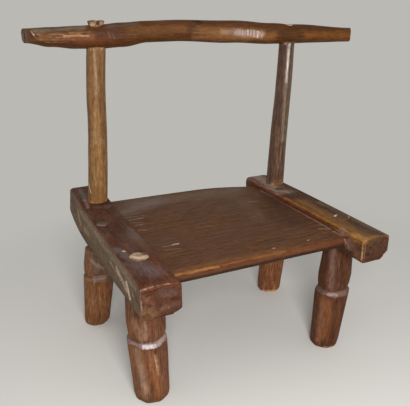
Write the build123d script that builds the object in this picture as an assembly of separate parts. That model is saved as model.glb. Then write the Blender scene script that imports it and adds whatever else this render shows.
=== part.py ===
from build123d import *
import os
from dataclasses import dataclass
from math import cos, pi, radians, sin

# African birthing chair: a low board seat housed between two hewn side rails, four whittled
# legs whose tenons run right through the rails, and two branch posts that carry a bent
# branch as the grip and crest rail. All sizes are in millimetres.
# +X is the right of someone who faces the chair's front, +Y runs to its back, +Z is up.

# ---- Side rails: lengths run front to back from a common front line ----
RAIL_TOP_HEIGHT = 212.0         # floor to the rails' tops
RAIL_GAP = 284.0                # between the rails' inner faces
LEFT_RAIL_LENGTH = 454.0
LEFT_RAIL_THICKNESS = 44.5
LEFT_RAIL_FRONT_WIDTH = 55.0
LEFT_RAIL_WAIST_WIDTH = 66.0    # over the bowed outer face, half way along
LEFT_RAIL_REAR_WIDTH = 61.0
LEFT_RAIL_BATTER = 9.0          # how far the outer face leans in towards the top, half way along
RIGHT_RAIL_LENGTH = 362.0
RIGHT_RAIL_THICKNESS = 38.0
RIGHT_RAIL_FRONT_WIDTH = 47.5
RIGHT_RAIL_WAIST_WIDTH = 51.5
RIGHT_RAIL_REAR_WIDTH = 48.5
RIGHT_RAIL_BATTER = 1.5
RAIL_EDGE_RADIUS = 4.5          # worn long edges
RAIL_END_WEAR = 1.8             # rounding round the front end
RAIL_TAIL = 12.0                # length over which the back end rounds off
RAIL_TAIL_DROP = 2.2            # how much the rounded back end loses all round
BROKEN_CORNER_WIDTH = 12.0      # corner lost from the front end of each rail, seen from the front
BROKEN_CORNER_HEIGHT = 8.0
BROKEN_CORNER_DEPTH = 22.0      # how far back the break runs

# ---- Seat board ----
SEAT_THICKNESS = 14.5
SEAT_DROP = 10.0                # seat top below the rails' tops
SEAT_SETBACK = 37.0             # front edge behind the rails' fronts
SEAT_LEFT_BACK = 367.0          # back edge at the left rail, behind the rails' fronts
SEAT_MIDDLE_BACK = 360.5        # where the straight back edge ends
SEAT_RIGHT_BACK = 323.0         # back edge at the right rail
SEAT_SHOULDER = 110.0           # length of the curved run of the back edge at the right
SEAT_BULGE = 7.5                # rise of that curve above its chord
SEAT_HOUSING = 7.0              # how far each end is let into its rail
SEAT_FRONT_RADIUS = 5.5         # worn front top edge
SEAT_EDGE_RADIUS = 2.5

# ---- Legs: across the flats of an eight-sided, whittled section ----
LEG_SIDES = 8
FRONT_LEFT_LEG_GIRTH = 57.0
FRONT_RIGHT_LEG_GIRTH = 51.0
REAR_LEFT_LEG_GIRTH = 49.5
REAR_RIGHT_LEG_GIRTH = 48.5
FRONT_LEFT_COLLAR_HEIGHT = 87.0     # floor to the collar's lower edge
FRONT_RIGHT_COLLAR_HEIGHT = 85.0
REAR_LEFT_COLLAR_HEIGHT = 99.0
REAR_RIGHT_COLLAR_HEIGHT = 92.0
FOOT_TAPER = 5.5                # loss of girth from collar to foot
FOOT_RIM = 5.0                  # rounding of the foot's rim, inwards
FOOT_RIM_HEIGHT = 12.0
LEDGE_HEIGHT = 11.5             # steep ledge from the collar's edge up to the bottom of the notch
NOTCH_DEPTH = 4.0
UNDERCUT_HEIGHT = 7.0           # notch bottom up to the barrel
BARREL_LOSS = 3.0               # barrel thinner than the collar
BARREL_RISE = 21.0              # notch bottom up to the barrel's thickest place
NECK_LOSS = 7.5                 # loss of girth from the barrel to the rail's underside
LEG_TURN = 15.0                 # turn of the flats about the leg, degrees
FRONT_TENON_DIAMETER = 27.0
REAR_TENON_DIAMETER = 19.0
TENON_PROUD = 0.8               # tenon ends stand just above the rails' tops

# Tenon centres on the rails' tops: from the rail's front, and out from its inner face.
FRONT_LEFT_TENON_BACK = 93.0
FRONT_LEFT_TENON_OUT = 27.0
FRONT_RIGHT_TENON_BACK = 90.5
FRONT_RIGHT_TENON_OUT = 30.0
REAR_LEFT_TENON_BACK = 236.0
REAR_LEFT_TENON_OUT = 43.5
REAR_RIGHT_TENON_BACK = 262.0
REAR_RIGHT_TENON_OUT = 20.5
# Where each foot stands, measured from its own tenon: outwards and backwards.
FRONT_LEFT_FOOT_OUT = -1.0
FRONT_LEFT_FOOT_BACK = -21.0
FRONT_RIGHT_FOOT_OUT = -34.0
FRONT_RIGHT_FOOT_BACK = -19.0
REAR_LEFT_FOOT_OUT = 10.5
REAR_LEFT_FOOT_BACK = 68.0
REAR_RIGHT_FOOT_OUT = -12.0
REAR_RIGHT_FOOT_BACK = 13.0

# ---- Posts ----
LEFT_POST_FROM_END = 101.0      # post centre ahead of the rail's back end
LEFT_POST_OUT = 23.0            # post centre out from the rail's inner face
LEFT_POST_FOOT_DIAMETER = 34.5
LEFT_POST_HEAD_DIAMETER = 29.0
LEFT_POST_LEAN_OUT = -18.0      # head of the post out from its foot
LEFT_POST_LEAN_BACK = -4.0
LEFT_POST_SWAY = 1.0            # how far the branch wanders off its straight line
LEFT_HEAD_TENON_DIAMETER = 24.5
LEFT_HEAD_PROUD = 8.0           # tenon above the crest rail's top
RIGHT_POST_FROM_END = 62.0
RIGHT_POST_OUT = 32.0
RIGHT_POST_FOOT_DIAMETER = 32.0
RIGHT_POST_HEAD_DIAMETER = 26.5
RIGHT_POST_LEAN_OUT = 12.0
RIGHT_POST_LEAN_BACK = -7.0
RIGHT_POST_SWAY = -0.8
RIGHT_HEAD_TENON_DIAMETER = 17.0
RIGHT_HEAD_PROUD = 4.0
FOOT_TENON_DIAMETER = 22.0
FOOT_TENON_LENGTH = 30.0        # blind, down into the rail
TENON_END_RADIUS = 1.5

# ---- Crest rail: each section's way along from the left post, centre, height and depth ----
CREST_HEIGHT = 475.0            # floor to its underside at the posts
CREST_LEFT_OVERHANG = 116.0
CREST_LEFT_END_RISE = 4.5       # centre of the section above the centre over the left post
CREST_LEFT_END_HEIGHT = 20.5
CREST_LEFT_END_DEPTH = 22.0
CREST_SHOULDER_WAY = -59.0
CREST_SHOULDER_HEIGHT = 32.5
CREST_SHOULDER_DEPTH = 33.0
CREST_LEFT_HEIGHT = 37.5        # over the left post
CREST_LEFT_DEPTH = 38.0
CREST_ARCH_START = 85.0
CREST_ARCH_END = 130.0
CREST_ARCH_RISE = 6.5
CREST_ARCH_HEIGHT = 33.0
CREST_ARCH_DEPTH = 34.0
CREST_BELLY_WAY = 235.0
CREST_BELLY_RISE = 2.5
CREST_BELLY_HEIGHT = 35.0
CREST_BELLY_DEPTH = 33.5
CREST_RIGHT_HEIGHT = 30.0       # over the right post
CREST_RIGHT_DEPTH = 30.0
CREST_RIGHT_OVERHANG = 121.0
CREST_RIGHT_END_FALL = 7.5      # centre of the section below the centre over the left post
CREST_RIGHT_END_HEIGHT = 22.5
CREST_RIGHT_END_DEPTH = 22.0
CREST_CORNER_RADIUS = 12.0      # of the rounded sections along the branch
CREST_END_CORNER_RADIUS = 4.0   # of the squared end sections
CREST_SPACING = 42.0            # between the sections that the branch is lofted through
CREST_END_CUT = 33.0            # slant of the sawn left end, degrees
POST_LETTING = 3.0              # how deep a post's shoulder is let into the crest rail

# ---- Fits ----
MORTISE_CLEARANCE = 0.3         # round every tenon, under blind ones, and round the seat board's ends
SHOULDER_GAP = 0.2              # under every shoulder


@dataclass(frozen=True)
class Rail:
    """One side rail's own sizes, and the place of the break in its front end."""

    side: int
    length: float
    thickness: float
    front_width: float
    waist_width: float
    rear_width: float
    batter: float
    broken_corner_out: float    # from the inner face to the lost corner

    @property
    def bottom(self) -> float:
        """Height of the rail's flat underside."""
        return RAIL_TOP_HEIGHT - self.thickness


@dataclass(frozen=True)
class Leg:
    """One leg's own sizes: its girth, collar and tenon, and where tenon and foot stand."""

    rail: Rail
    girth: float
    collar_height: float
    tenon_diameter: float
    tenon_out: float
    tenon_back: float
    foot_out: float
    foot_back: float

    def axis_at(self, height: float) -> Vector:
        """Centre of the leg at a height, on the straight line from foot to tenon end."""
        drop = 1 - height / RAIL_TOP_HEIGHT
        out = self.tenon_out + self.foot_out * drop
        return Vector(self.rail.side * (RAIL_GAP / 2 + out), self.tenon_back + self.foot_back * drop, height)


@dataclass(frozen=True)
class Post:
    """One back post's own sizes, from the rail up to the crest rail."""

    rail: Rail
    out: float
    back: float
    foot_diameter: float
    head_diameter: float
    lean_out: float
    lean_back: float
    sway: float
    head_tenon_diameter: float
    head_proud: float
    crest_height: float         # height of the crest rail's section over this post

    def axis_at(self, height: float) -> Vector:
        """Centre of the post at a height, on the straight line from its foot to its head."""
        rise = (height - RAIL_TOP_HEIGHT) / (CREST_HEIGHT - RAIL_TOP_HEIGHT)
        out = self.out + self.lean_out * rise
        return Vector(self.rail.side * (RAIL_GAP / 2 + out), self.back + self.lean_back * rise, height)


@dataclass(frozen=True)
class CrestSection:
    """A section of the crest rail: way along from the left post, centre height and sizes."""

    way: float
    centre: float
    height: float
    depth: float
    corner_radius: float = CREST_CORNER_RADIUS


LEFT_RAIL = Rail(
    side=-1,
    length=LEFT_RAIL_LENGTH,
    thickness=LEFT_RAIL_THICKNESS,
    front_width=LEFT_RAIL_FRONT_WIDTH,
    waist_width=LEFT_RAIL_WAIST_WIDTH,
    rear_width=LEFT_RAIL_REAR_WIDTH,
    batter=LEFT_RAIL_BATTER,
    broken_corner_out=0,
)
RIGHT_RAIL = Rail(
    side=1,
    length=RIGHT_RAIL_LENGTH,
    thickness=RIGHT_RAIL_THICKNESS,
    front_width=RIGHT_RAIL_FRONT_WIDTH,
    waist_width=RIGHT_RAIL_WAIST_WIDTH,
    rear_width=RIGHT_RAIL_REAR_WIDTH,
    batter=RIGHT_RAIL_BATTER,
    broken_corner_out=RIGHT_RAIL_FRONT_WIDTH,
)
LEGS = {
    "leg_front_left": Leg(
        rail=LEFT_RAIL,
        girth=FRONT_LEFT_LEG_GIRTH,
        collar_height=FRONT_LEFT_COLLAR_HEIGHT,
        tenon_diameter=FRONT_TENON_DIAMETER,
        tenon_out=FRONT_LEFT_TENON_OUT,
        tenon_back=FRONT_LEFT_TENON_BACK,
        foot_out=FRONT_LEFT_FOOT_OUT,
        foot_back=FRONT_LEFT_FOOT_BACK,
    ),
    "leg_front_right": Leg(
        rail=RIGHT_RAIL,
        girth=FRONT_RIGHT_LEG_GIRTH,
        collar_height=FRONT_RIGHT_COLLAR_HEIGHT,
        tenon_diameter=FRONT_TENON_DIAMETER,
        tenon_out=FRONT_RIGHT_TENON_OUT,
        tenon_back=FRONT_RIGHT_TENON_BACK,
        foot_out=FRONT_RIGHT_FOOT_OUT,
        foot_back=FRONT_RIGHT_FOOT_BACK,
    ),
    "leg_rear_left": Leg(
        rail=LEFT_RAIL,
        girth=REAR_LEFT_LEG_GIRTH,
        collar_height=REAR_LEFT_COLLAR_HEIGHT,
        tenon_diameter=REAR_TENON_DIAMETER,
        tenon_out=REAR_LEFT_TENON_OUT,
        tenon_back=REAR_LEFT_TENON_BACK,
        foot_out=REAR_LEFT_FOOT_OUT,
        foot_back=REAR_LEFT_FOOT_BACK,
    ),
    "leg_rear_right": Leg(
        rail=RIGHT_RAIL,
        girth=REAR_RIGHT_LEG_GIRTH,
        collar_height=REAR_RIGHT_COLLAR_HEIGHT,
        tenon_diameter=REAR_TENON_DIAMETER,
        tenon_out=REAR_RIGHT_TENON_OUT,
        tenon_back=REAR_RIGHT_TENON_BACK,
        foot_out=REAR_RIGHT_FOOT_OUT,
        foot_back=REAR_RIGHT_FOOT_BACK,
    ),
}
LEFT_POST = Post(
    rail=LEFT_RAIL,
    out=LEFT_POST_OUT,
    back=LEFT_RAIL_LENGTH - LEFT_POST_FROM_END,
    foot_diameter=LEFT_POST_FOOT_DIAMETER,
    head_diameter=LEFT_POST_HEAD_DIAMETER,
    lean_out=LEFT_POST_LEAN_OUT,
    lean_back=LEFT_POST_LEAN_BACK,
    sway=LEFT_POST_SWAY,
    head_tenon_diameter=LEFT_HEAD_TENON_DIAMETER,
    head_proud=LEFT_HEAD_PROUD,
    crest_height=CREST_LEFT_HEIGHT,
)
RIGHT_POST = Post(
    rail=RIGHT_RAIL,
    out=RIGHT_POST_OUT,
    back=RIGHT_RAIL_LENGTH - RIGHT_POST_FROM_END,
    foot_diameter=RIGHT_POST_FOOT_DIAMETER,
    head_diameter=RIGHT_POST_HEAD_DIAMETER,
    lean_out=RIGHT_POST_LEAN_OUT,
    lean_back=RIGHT_POST_LEAN_BACK,
    sway=RIGHT_POST_SWAY,
    head_tenon_diameter=RIGHT_HEAD_TENON_DIAMETER,
    head_proud=RIGHT_HEAD_PROUD,
    crest_height=CREST_RIGHT_HEIGHT,
)


def sloping_rod(low: Vector, high: Vector, diameter: float) -> Part:
    """Round rod on a sloping centre line, cut off level at both points' heights."""
    line = high - low
    spare = line.normalized() * diameter
    start = Plane(origin=low - spare, z_dir=line)
    rod = extrude(start * Circle(diameter / 2), amount=(line + spare * 2).length)
    room = 2 * (line.length + diameter)
    slab = Pos((low + high) * 0.5) * Box(room, room, line.Z)
    return rod & slab


# ---------------------------------------------------------------- seat board

def seat_outline(grow: float) -> Face:
    """Plan of the seat board with every edge moved out by grow: straight back, curved shoulder."""
    side = RAIL_GAP / 2 + SEAT_HOUSING + grow
    front = SEAT_SETBACK - grow
    corner = Vector(side, SEAT_RIGHT_BACK + grow)
    curve_start = Vector(RAIL_GAP / 2 - SEAT_SHOULDER, SEAT_MIDDLE_BACK + grow)
    curve_middle = (corner + curve_start) * 0.5 + Vector(0, SEAT_BULGE)
    back_left = Vector(-side, SEAT_LEFT_BACK + grow)
    return make_face(
        [
            Line((-side, front), (side, front)),
            Line((side, front), corner),
            ThreePointArc(corner, curve_middle, curve_start),
            Line(curve_start, back_left),
            Line(back_left, (-side, front)),
        ]
    )


def seat_slab(grow: float) -> Part:
    """Square-edged slab of the seat board, grown on every side by grow."""
    bottom = RAIL_TOP_HEIGHT - SEAT_DROP - SEAT_THICKNESS - grow
    return extrude(Pos(0, 0, bottom) * seat_outline(grow), amount=SEAT_THICKNESS + 2 * grow)


def front_edges(board: Part) -> ShapeList:
    """The board's foremost edges, from the lowest up."""
    return board.edges().filter_by(Axis.X).group_by(Axis.Y)[0].sort_by(Axis.Z)


def make_seat_board() -> Part:
    """Seat board with its worn front edge."""
    board = seat_slab(0)
    board = fillet(front_edges(board)[-1], SEAT_FRONT_RADIUS)
    return fillet(front_edges(board)[0], SEAT_EDGE_RADIUS)


# ---------------------------------------------------------------- side rails

def rail_section(rail: Rail, back: float, width: float, batter: float, loss: float = 0) -> Face:
    """Rounded section of a rail: square inside, leaning in outside, smaller all round by loss."""
    plane = Plane(
        origin=(rail.side * RAIL_GAP / 2, back, 0), x_dir=(rail.side, 0, 0), z_dir=(0, -rail.side, 0)
    )
    section = make_face(
        Polyline(
            (loss, rail.bottom + loss),
            (width - loss, rail.bottom + loss),
            (width - batter - loss, RAIL_TOP_HEIGHT - loss),
            (loss, RAIL_TOP_HEIGHT - loss),
            close=True,
        )
    )
    return plane * fillet(section.vertices(), RAIL_EDGE_RADIUS)


def rail_body(rail: Rail) -> Part:
    """Hewn slab: bowed outer face, square worn front, back end rounded off."""
    tail_start = rail.length - RAIL_TAIL
    swell = (rail.front_width + rail.waist_width) / 2
    sections = [
        rail_section(rail, 0, rail.front_width, 0),
        rail_section(rail, tail_start / 4, swell, rail.batter / 2),
        rail_section(rail, tail_start / 2, rail.waist_width, rail.batter),
        rail_section(rail, tail_start, rail.rear_width, rail.batter / 2),
    ]
    tail = [
        sections[-1],
        rail_section(rail, rail.length - RAIL_TAIL / 3, rail.rear_width, rail.batter / 2, RAIL_TAIL_DROP / 3),
        rail_section(rail, rail.length, rail.rear_width, rail.batter / 2, RAIL_TAIL_DROP),
    ]
    body = loft(sections) + loft(tail, ruled=True)
    front_rim = body.faces().sort_by(Axis.Y)[0].edges()
    return fillet(front_rim, RAIL_END_WEAR)


def broken_corner(rail: Rail) -> Part:
    """Wedge lost from a lower corner of the rail's front end."""
    corner = Vector(rail.side * (RAIL_GAP / 2 + rail.broken_corner_out), 0, rail.bottom)
    inwards = rail.side if rail.broken_corner_out == 0 else -rail.side
    wedge = Polyline(
        corner + Vector(inwards * BROKEN_CORNER_WIDTH, 0, 0),
        corner + Vector(0, 0, BROKEN_CORNER_HEIGHT),
        corner + Vector(-inwards * BROKEN_CORNER_WIDTH, 0, 0),
        corner + Vector(0, 0, -BROKEN_CORNER_HEIGHT),
        close=True,
    )
    tip = Vector(corner.X, BROKEN_CORNER_DEPTH, corner.Z)
    return loft([make_face(wedge), Vertex(tip)])


def make_rail(rail: Rail, post: Post) -> Part:
    """Side rail, mortised for its two legs, its post and the seat board."""
    body = rail_body(rail) - broken_corner(rail) - seat_slab(MORTISE_CLEARANCE)
    for leg in LEGS.values():
        if leg.rail == rail:
            below = leg.axis_at(rail.bottom - TENON_PROUD)
            above = leg.axis_at(RAIL_TOP_HEIGHT + TENON_PROUD)
            body -= sloping_rod(below, above, leg.tenon_diameter + 2 * MORTISE_CLEARANCE)
    mortise_bottom = post.axis_at(RAIL_TOP_HEIGHT - FOOT_TENON_LENGTH - MORTISE_CLEARANCE)
    mortise_mouth = post.axis_at(RAIL_TOP_HEIGHT + SHOULDER_GAP)
    return body - sloping_rod(mortise_bottom, mortise_mouth, FOOT_TENON_DIAMETER + 2 * MORTISE_CLEARANCE)


# ---------------------------------------------------------------- legs

def leg_section(leg: Leg, height: float, girth: float) -> Face:
    """Eight-sided section of a leg at a height, girth measured across its flats."""
    circumradius = girth / 2 / cos(pi / LEG_SIDES)
    flats = Rot(0, 0, LEG_TURN) * RegularPolygon(circumradius, LEG_SIDES)
    return Pos(leg.axis_at(height)) * flats


def make_leg(leg: Leg) -> Part:
    """Whittled leg with its V-cut collar, and a round tenon right through the rail."""
    foot = leg.girth - FOOT_TAPER
    barrel = leg.girth - BARREL_LOSS
    notch_height = leg.collar_height + LEDGE_HEIGHT
    shoulder = leg.rail.bottom - SHOULDER_GAP
    profile = [
        (0, foot - 2 * FOOT_RIM),
        (FOOT_RIM_HEIGHT / 3, foot - FOOT_RIM),
        (FOOT_RIM_HEIGHT, foot),
        (leg.collar_height, leg.girth),
        (notch_height, leg.girth - 2 * NOTCH_DEPTH),
        (notch_height + UNDERCUT_HEIGHT, barrel - NOTCH_DEPTH / 2),
        (notch_height + BARREL_RISE, barrel),
        (shoulder, barrel - NECK_LOSS),
    ]
    body = loft([leg_section(leg, height, girth) for height, girth in profile], ruled=True)
    tenon_end = leg.axis_at(RAIL_TOP_HEIGHT + TENON_PROUD)
    return body + sloping_rod(leg.axis_at(shoulder), tenon_end, leg.tenon_diameter)


# ---------------------------------------------------------------- back posts

def make_post(post: Post) -> Part:
    """Branch post: swaying round body, blind tenon below, tenon right through the crest rail."""
    low = RAIL_TOP_HEIGHT + SHOULDER_GAP
    high = CREST_HEIGHT + POST_LETTING - SHOULDER_GAP
    sections = []
    for share, sway in [(0, 0), (0.25, 1), (0.5, 0), (0.75, -1), (1, 0)]:
        centre = post.axis_at(low + share * (high - low)) + Vector(sway * post.sway, 0, 0)
        diameter = post.foot_diameter + share * (post.head_diameter - post.foot_diameter)
        sections.append(Pos(centre) * Circle(diameter / 2))
    tenon_start = RAIL_TOP_HEIGHT - FOOT_TENON_LENGTH
    foot_tenon = sloping_rod(post.axis_at(tenon_start), post.axis_at(low), FOOT_TENON_DIAMETER)
    tenon_end = CREST_HEIGHT + post.crest_height + post.head_proud
    head_tenon = sloping_rod(post.axis_at(high), post.axis_at(tenon_end), post.head_tenon_diameter)
    head_tenon = fillet(head_tenon.edges().sort_by(Axis.Z)[-1], TENON_END_RADIUS)
    return loft(sections) + foot_tenon + head_tenon


# ---------------------------------------------------------------- crest rail

def crest_line() -> tuple:
    """Start of the crest rail's run over the left post, its level direction and its span."""
    start = LEFT_POST.axis_at(CREST_HEIGHT)
    run = RIGHT_POST.axis_at(CREST_HEIGHT) - start
    return start, run.normalized(), run.length


def crest_sections() -> list:
    """The sections that give the crest rail its form, from its left end to its right end."""
    span = crest_line()[2]
    level = CREST_HEIGHT + CREST_LEFT_HEIGHT / 2
    return [
        CrestSection(
            -CREST_LEFT_OVERHANG,
            level + CREST_LEFT_END_RISE,
            CREST_LEFT_END_HEIGHT,
            CREST_LEFT_END_DEPTH,
            CREST_END_CORNER_RADIUS,
        ),
        CrestSection(CREST_SHOULDER_WAY, level, CREST_SHOULDER_HEIGHT, CREST_SHOULDER_DEPTH),
        CrestSection(0, level, CREST_LEFT_HEIGHT, CREST_LEFT_DEPTH),
        CrestSection(CREST_ARCH_START, level + CREST_ARCH_RISE, CREST_ARCH_HEIGHT, CREST_ARCH_DEPTH),
        CrestSection(CREST_ARCH_END, level + CREST_ARCH_RISE, CREST_ARCH_HEIGHT, CREST_ARCH_DEPTH),
        CrestSection(CREST_BELLY_WAY, level + CREST_BELLY_RISE, CREST_BELLY_HEIGHT, CREST_BELLY_DEPTH),
        CrestSection(span, CREST_HEIGHT + CREST_RIGHT_HEIGHT / 2, CREST_RIGHT_HEIGHT, CREST_RIGHT_DEPTH),
        CrestSection(
            span + CREST_RIGHT_OVERHANG,
            level - CREST_RIGHT_END_FALL,
            CREST_RIGHT_END_HEIGHT,
            CREST_RIGHT_END_DEPTH,
            CREST_END_CORNER_RADIUS,
        ),
    ]


def crest_between(low: CrestSection, high: CrestSection, way: float) -> CrestSection:
    """Section part way between two others, blended so that the branch bends without corners."""
    share = (way - low.way) / (high.way - low.way)
    blend = (1 - cos(pi * share)) / 2

    def mixed(first: float, second: float) -> float:
        return first + (second - first) * blend

    return CrestSection(
        way,
        mixed(low.centre, high.centre),
        mixed(low.height, high.height),
        mixed(low.depth, high.depth),
        mixed(low.corner_radius, high.corner_radius),
    )


def crest_face(section: CrestSection) -> Face:
    """Rounded face of a crest rail section, square to the rail's run."""
    start, along, _ = crest_line()
    place = start + along * section.way
    plane = Plane(
        origin=(place.X, place.Y, section.centre), x_dir=along.cross(Vector(0, 0, 1)), z_dir=along
    )
    return plane * RectangleRounded(section.depth, section.height, section.corner_radius)


def crest_branch() -> Part:
    """Bent branch without its post holes: its sections lofted at an even spacing."""
    sections = crest_sections()
    faces = [crest_face(sections[0])]
    for low, high in zip(sections, sections[1:]):
        steps = max(1, round((high.way - low.way) / CREST_SPACING))
        for step in range(1, steps + 1):
            way = low.way + (high.way - low.way) * step / steps
            faces.append(crest_face(crest_between(low, high, way)))
    return loft(faces)


def make_crest_rail() -> Part:
    """Crest rail: the branch with its slanting left end and a stepped hole for each post."""
    start, along, _ = crest_line()
    end = start + along * -CREST_LEFT_OVERHANG
    saw_cut = Plane(origin=end, z_dir=along.rotate(Axis.Z, CREST_END_CUT))
    saw_cut = saw_cut.offset(CREST_LEFT_END_DEPTH / 2 * sin(radians(CREST_END_CUT)))
    body = split(crest_branch(), bisect_by=saw_cut, keep=Keep.TOP)
    for post in (LEFT_POST, RIGHT_POST):
        below = post.axis_at(CREST_HEIGHT - post.crest_height)
        above = post.axis_at(CREST_HEIGHT + post.crest_height + post.head_proud)
        shoulder = post.axis_at(CREST_HEIGHT + POST_LETTING)
        body -= sloping_rod(below, above, post.head_tenon_diameter + 2 * MORTISE_CLEARANCE)
        body -= sloping_rod(below, shoulder, post.head_diameter + 2 * MORTISE_CLEARANCE)
    return body


# ---------------------------------------------------------------- assembly

def make_chair() -> dict:
    """Every piece of the chair by its node's name."""
    pieces = {
        "left_rail": make_rail(LEFT_RAIL, LEFT_POST),
        "right_rail": make_rail(RIGHT_RAIL, RIGHT_POST),
        "seat_board": make_seat_board(),
        "left_post": make_post(LEFT_POST),
        "right_post": make_post(RIGHT_POST),
        "crest_rail": make_crest_rail(),
    }
    for name, leg in LEGS.items():
        pieces[name] = make_leg(leg)
    return pieces


def centred_on_floor(pieces: dict) -> dict:
    """The pieces moved so that the origin is the middle of the chair's footprint box."""
    box = Compound(pieces.values()).bounding_box()
    shift = Pos(-box.center().X, -box.center().Y, -box.min.Z)
    return {name: shift * piece for name, piece in pieces.items()}


os.makedirs("parts", exist_ok=True)
for name, piece in centred_on_floor(make_chair()).items():
    export_step(piece, f"parts/{name}.step")
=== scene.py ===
"""Low African birthing chair: hewn rails, board seat, whittled legs and a branch for the back.

Sizes are in millimetres in the shared frame: +X is the right of someone who faces the
chair's front, +Y runs to its back, +Z is up, and the floor is at zero.
"""

from __future__ import annotations

import logging
from abc import ABC, abstractmethod
from collections.abc import Sequence
from dataclasses import dataclass, replace
from enum import Enum, IntEnum
from functools import partial
from itertools import product
from math import cos, pi, radians, sin

import bpy
import numpy as np
from mathutils import Matrix, Vector

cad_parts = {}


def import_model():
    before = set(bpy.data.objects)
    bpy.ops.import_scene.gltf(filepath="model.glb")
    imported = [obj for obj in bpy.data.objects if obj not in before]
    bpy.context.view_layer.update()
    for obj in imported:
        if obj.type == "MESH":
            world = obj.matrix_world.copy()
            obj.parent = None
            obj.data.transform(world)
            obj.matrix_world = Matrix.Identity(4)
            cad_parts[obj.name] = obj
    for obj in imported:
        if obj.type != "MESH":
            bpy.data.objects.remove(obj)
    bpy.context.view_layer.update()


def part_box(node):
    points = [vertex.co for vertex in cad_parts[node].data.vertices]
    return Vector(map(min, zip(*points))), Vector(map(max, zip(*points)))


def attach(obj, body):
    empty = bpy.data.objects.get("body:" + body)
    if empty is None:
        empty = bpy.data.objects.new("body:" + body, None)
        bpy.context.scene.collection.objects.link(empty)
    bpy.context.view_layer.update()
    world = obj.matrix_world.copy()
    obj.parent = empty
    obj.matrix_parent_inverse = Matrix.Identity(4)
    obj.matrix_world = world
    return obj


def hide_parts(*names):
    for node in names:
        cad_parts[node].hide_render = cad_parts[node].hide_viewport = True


MM = 0.001
BODY = "root"
UP = Vector((0, 0, 1))

RAIL_TOP = 212.0
RAIL_GAP = 284.0
CREST_BOTTOM = 475.0
TENON_PROUD = 0.8
GAP = 0.3  # round a tenon in its hole
ROD_SIDES = 72
CREASE = radians(42)  # sharper bends are shaded as edges

Array = np.ndarray
Triple = tuple[float, float, float]
Light = tuple[float, float, float, float]  # linear, as nodes use it
Colour = int  # 0xRRGGBB, as a screen shows it
Hole = tuple[Vector, Vector, float]  # from, to and radius
Socket = bpy.types.NodeSocket
Sockets = bpy.types.bpy_prop_collection
NodeInput = Socket | float | int | Sequence[float]

log = logging.getLogger("birthing_chair")


# ---- small helpers

def light(colour: Colour) -> Light:
    """A screen colour as the linear values that nodes use."""
    parts = [value / 255 for value in colour.to_bytes(3, "big")]
    return (*(p / 12.92 if p <= 0.04045 else ((p + 0.055) / 1.055) ** 2.4 for p in parts), 1.0)


def eased(share: Array) -> Array:
    """A share clipped to 0..1 and eased at both ends."""
    held = np.clip(share, 0, 1)
    return held * held * (3 - 2 * held)


def rounding(distance: Array, radius: float) -> Array:
    """What an end rounded to a radius has lost from its side, at a distance from the end."""
    return radius * (1 - np.sqrt(1 - np.clip(1 - distance / radius, 0, 1) ** 2))


def spaced(stops: Sequence[float], steps: Sequence[float]) -> Array:
    """Rising places from the first stop to the last.

    Args:
        stops: places that are kept, in rising order.
        steps: the spacing wanted in each run between two stops.

    Returns:
        All places, each stop once.
    """
    runs = [np.array([stops[0]])]
    for low, high, step in zip(stops, stops[1:], steps):
        count = max(1, round((high - low) / step))
        runs.append(np.linspace(low, high, count + 1)[1:])
    return np.concatenate(runs)


def bearing(turn: float, height: float) -> Vector:
    """A direction from its degrees round from the front to the right, and up from level."""
    level = cos(radians(height))
    return Vector((sin(radians(turn)) * level, -cos(radians(turn)) * level, sin(radians(height))))


def grain_place(origin: Vector, along: Vector, across: Vector) -> Matrix:
    """A place in the wood.

    Args:
        origin: where it is.
        along: the way the grain runs, which is its third axis.
        across: the direction that its first axis keeps closest to.

    Returns:
        The place in the shared frame.
    """
    third = along.normalized()
    second = third.cross(across).normalized()
    first = second.cross(third)
    return Matrix.Translation(origin) @ Matrix((first, second, third)).transposed().to_4x4()


def placed(name: str, data: bpy.types.ID) -> bpy.types.Object:
    """A new object in the scene.

    Args:
        name: the object's name.
        data: its mesh, lamp or camera.

    Returns:
        The object.
    """
    made = bpy.data.objects.new(name, data)
    bpy.context.scene.collection.objects.link(made)
    return made


def triples(items: bpy.types.bpy_prop_collection, name: str) -> Array:
    """The three numbers that each item of a mesh holds under a name.

    Args:
        items: the mesh's vertices or their normals.
        name: which of their values.

    Returns:
        (items, 3).
    """
    found = np.empty(len(items) * 3, np.float32)
    items.foreach_get(name, found)
    return found.reshape(-1, 3).astype(float)


class SolidNoise:
    """Seeded gradient noise through space, from about -1 to 1."""

    CELLS = 256
    GAIN = 1.6

    def __init__(self, seed: int) -> None:
        """Makes the noise's own shuffled table of slopes.

        Args:
            seed: the same seed gives the same noise.
        """
        source = np.random.default_rng(seed)
        self.order = np.tile(source.permutation(self.CELLS), 2)
        slopes = source.normal(size=(self.CELLS, 3))
        self.slopes = slopes / np.linalg.norm(slopes, axis=1, keepdims=True)

    def at(self, points: Array, wavelength: float | Triple) -> Array:
        """The noise at points.

        Args:
            points: (points, 3).
            wavelength: one for all axes or one for each.

        Returns:
            (points,).
        """
        spots = points / np.asarray(wavelength)
        cell = np.floor(spots).astype(int)
        part = spots - cell
        ease = part**3 * (part * (part * 6 - 15) + 10)
        total = np.zeros(len(spots))
        for corner in product((0, 1), repeat=3):
            step = np.array(corner)
            across, back, up = ((cell + step) & (self.CELLS - 1)).T
            slope = self.slopes[self.order[self.order[self.order[across] + back] + up]]
            weight = np.where(step, ease, 1 - ease).prod(axis=1)
            total += weight * (slope * (part - step)).sum(axis=1)
        return total * self.GAIN


@dataclass(frozen=True)
class Unevenness:
    """One layer of a hand-cut surface: its depth and how far apart its waves lie."""

    depth: float
    wavelength: float | Triple
    shift: float = 0.0  # keeps it apart from the other layers
    level: float = 0.0  # its mean, in depths

    def at(self, noise: SolidNoise, points: Array) -> Array:
        """How deep the layer lies at each point."""
        return self.depth * (self.level + noise.at(points + self.shift, self.wavelength))


# ---- carving

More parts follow.
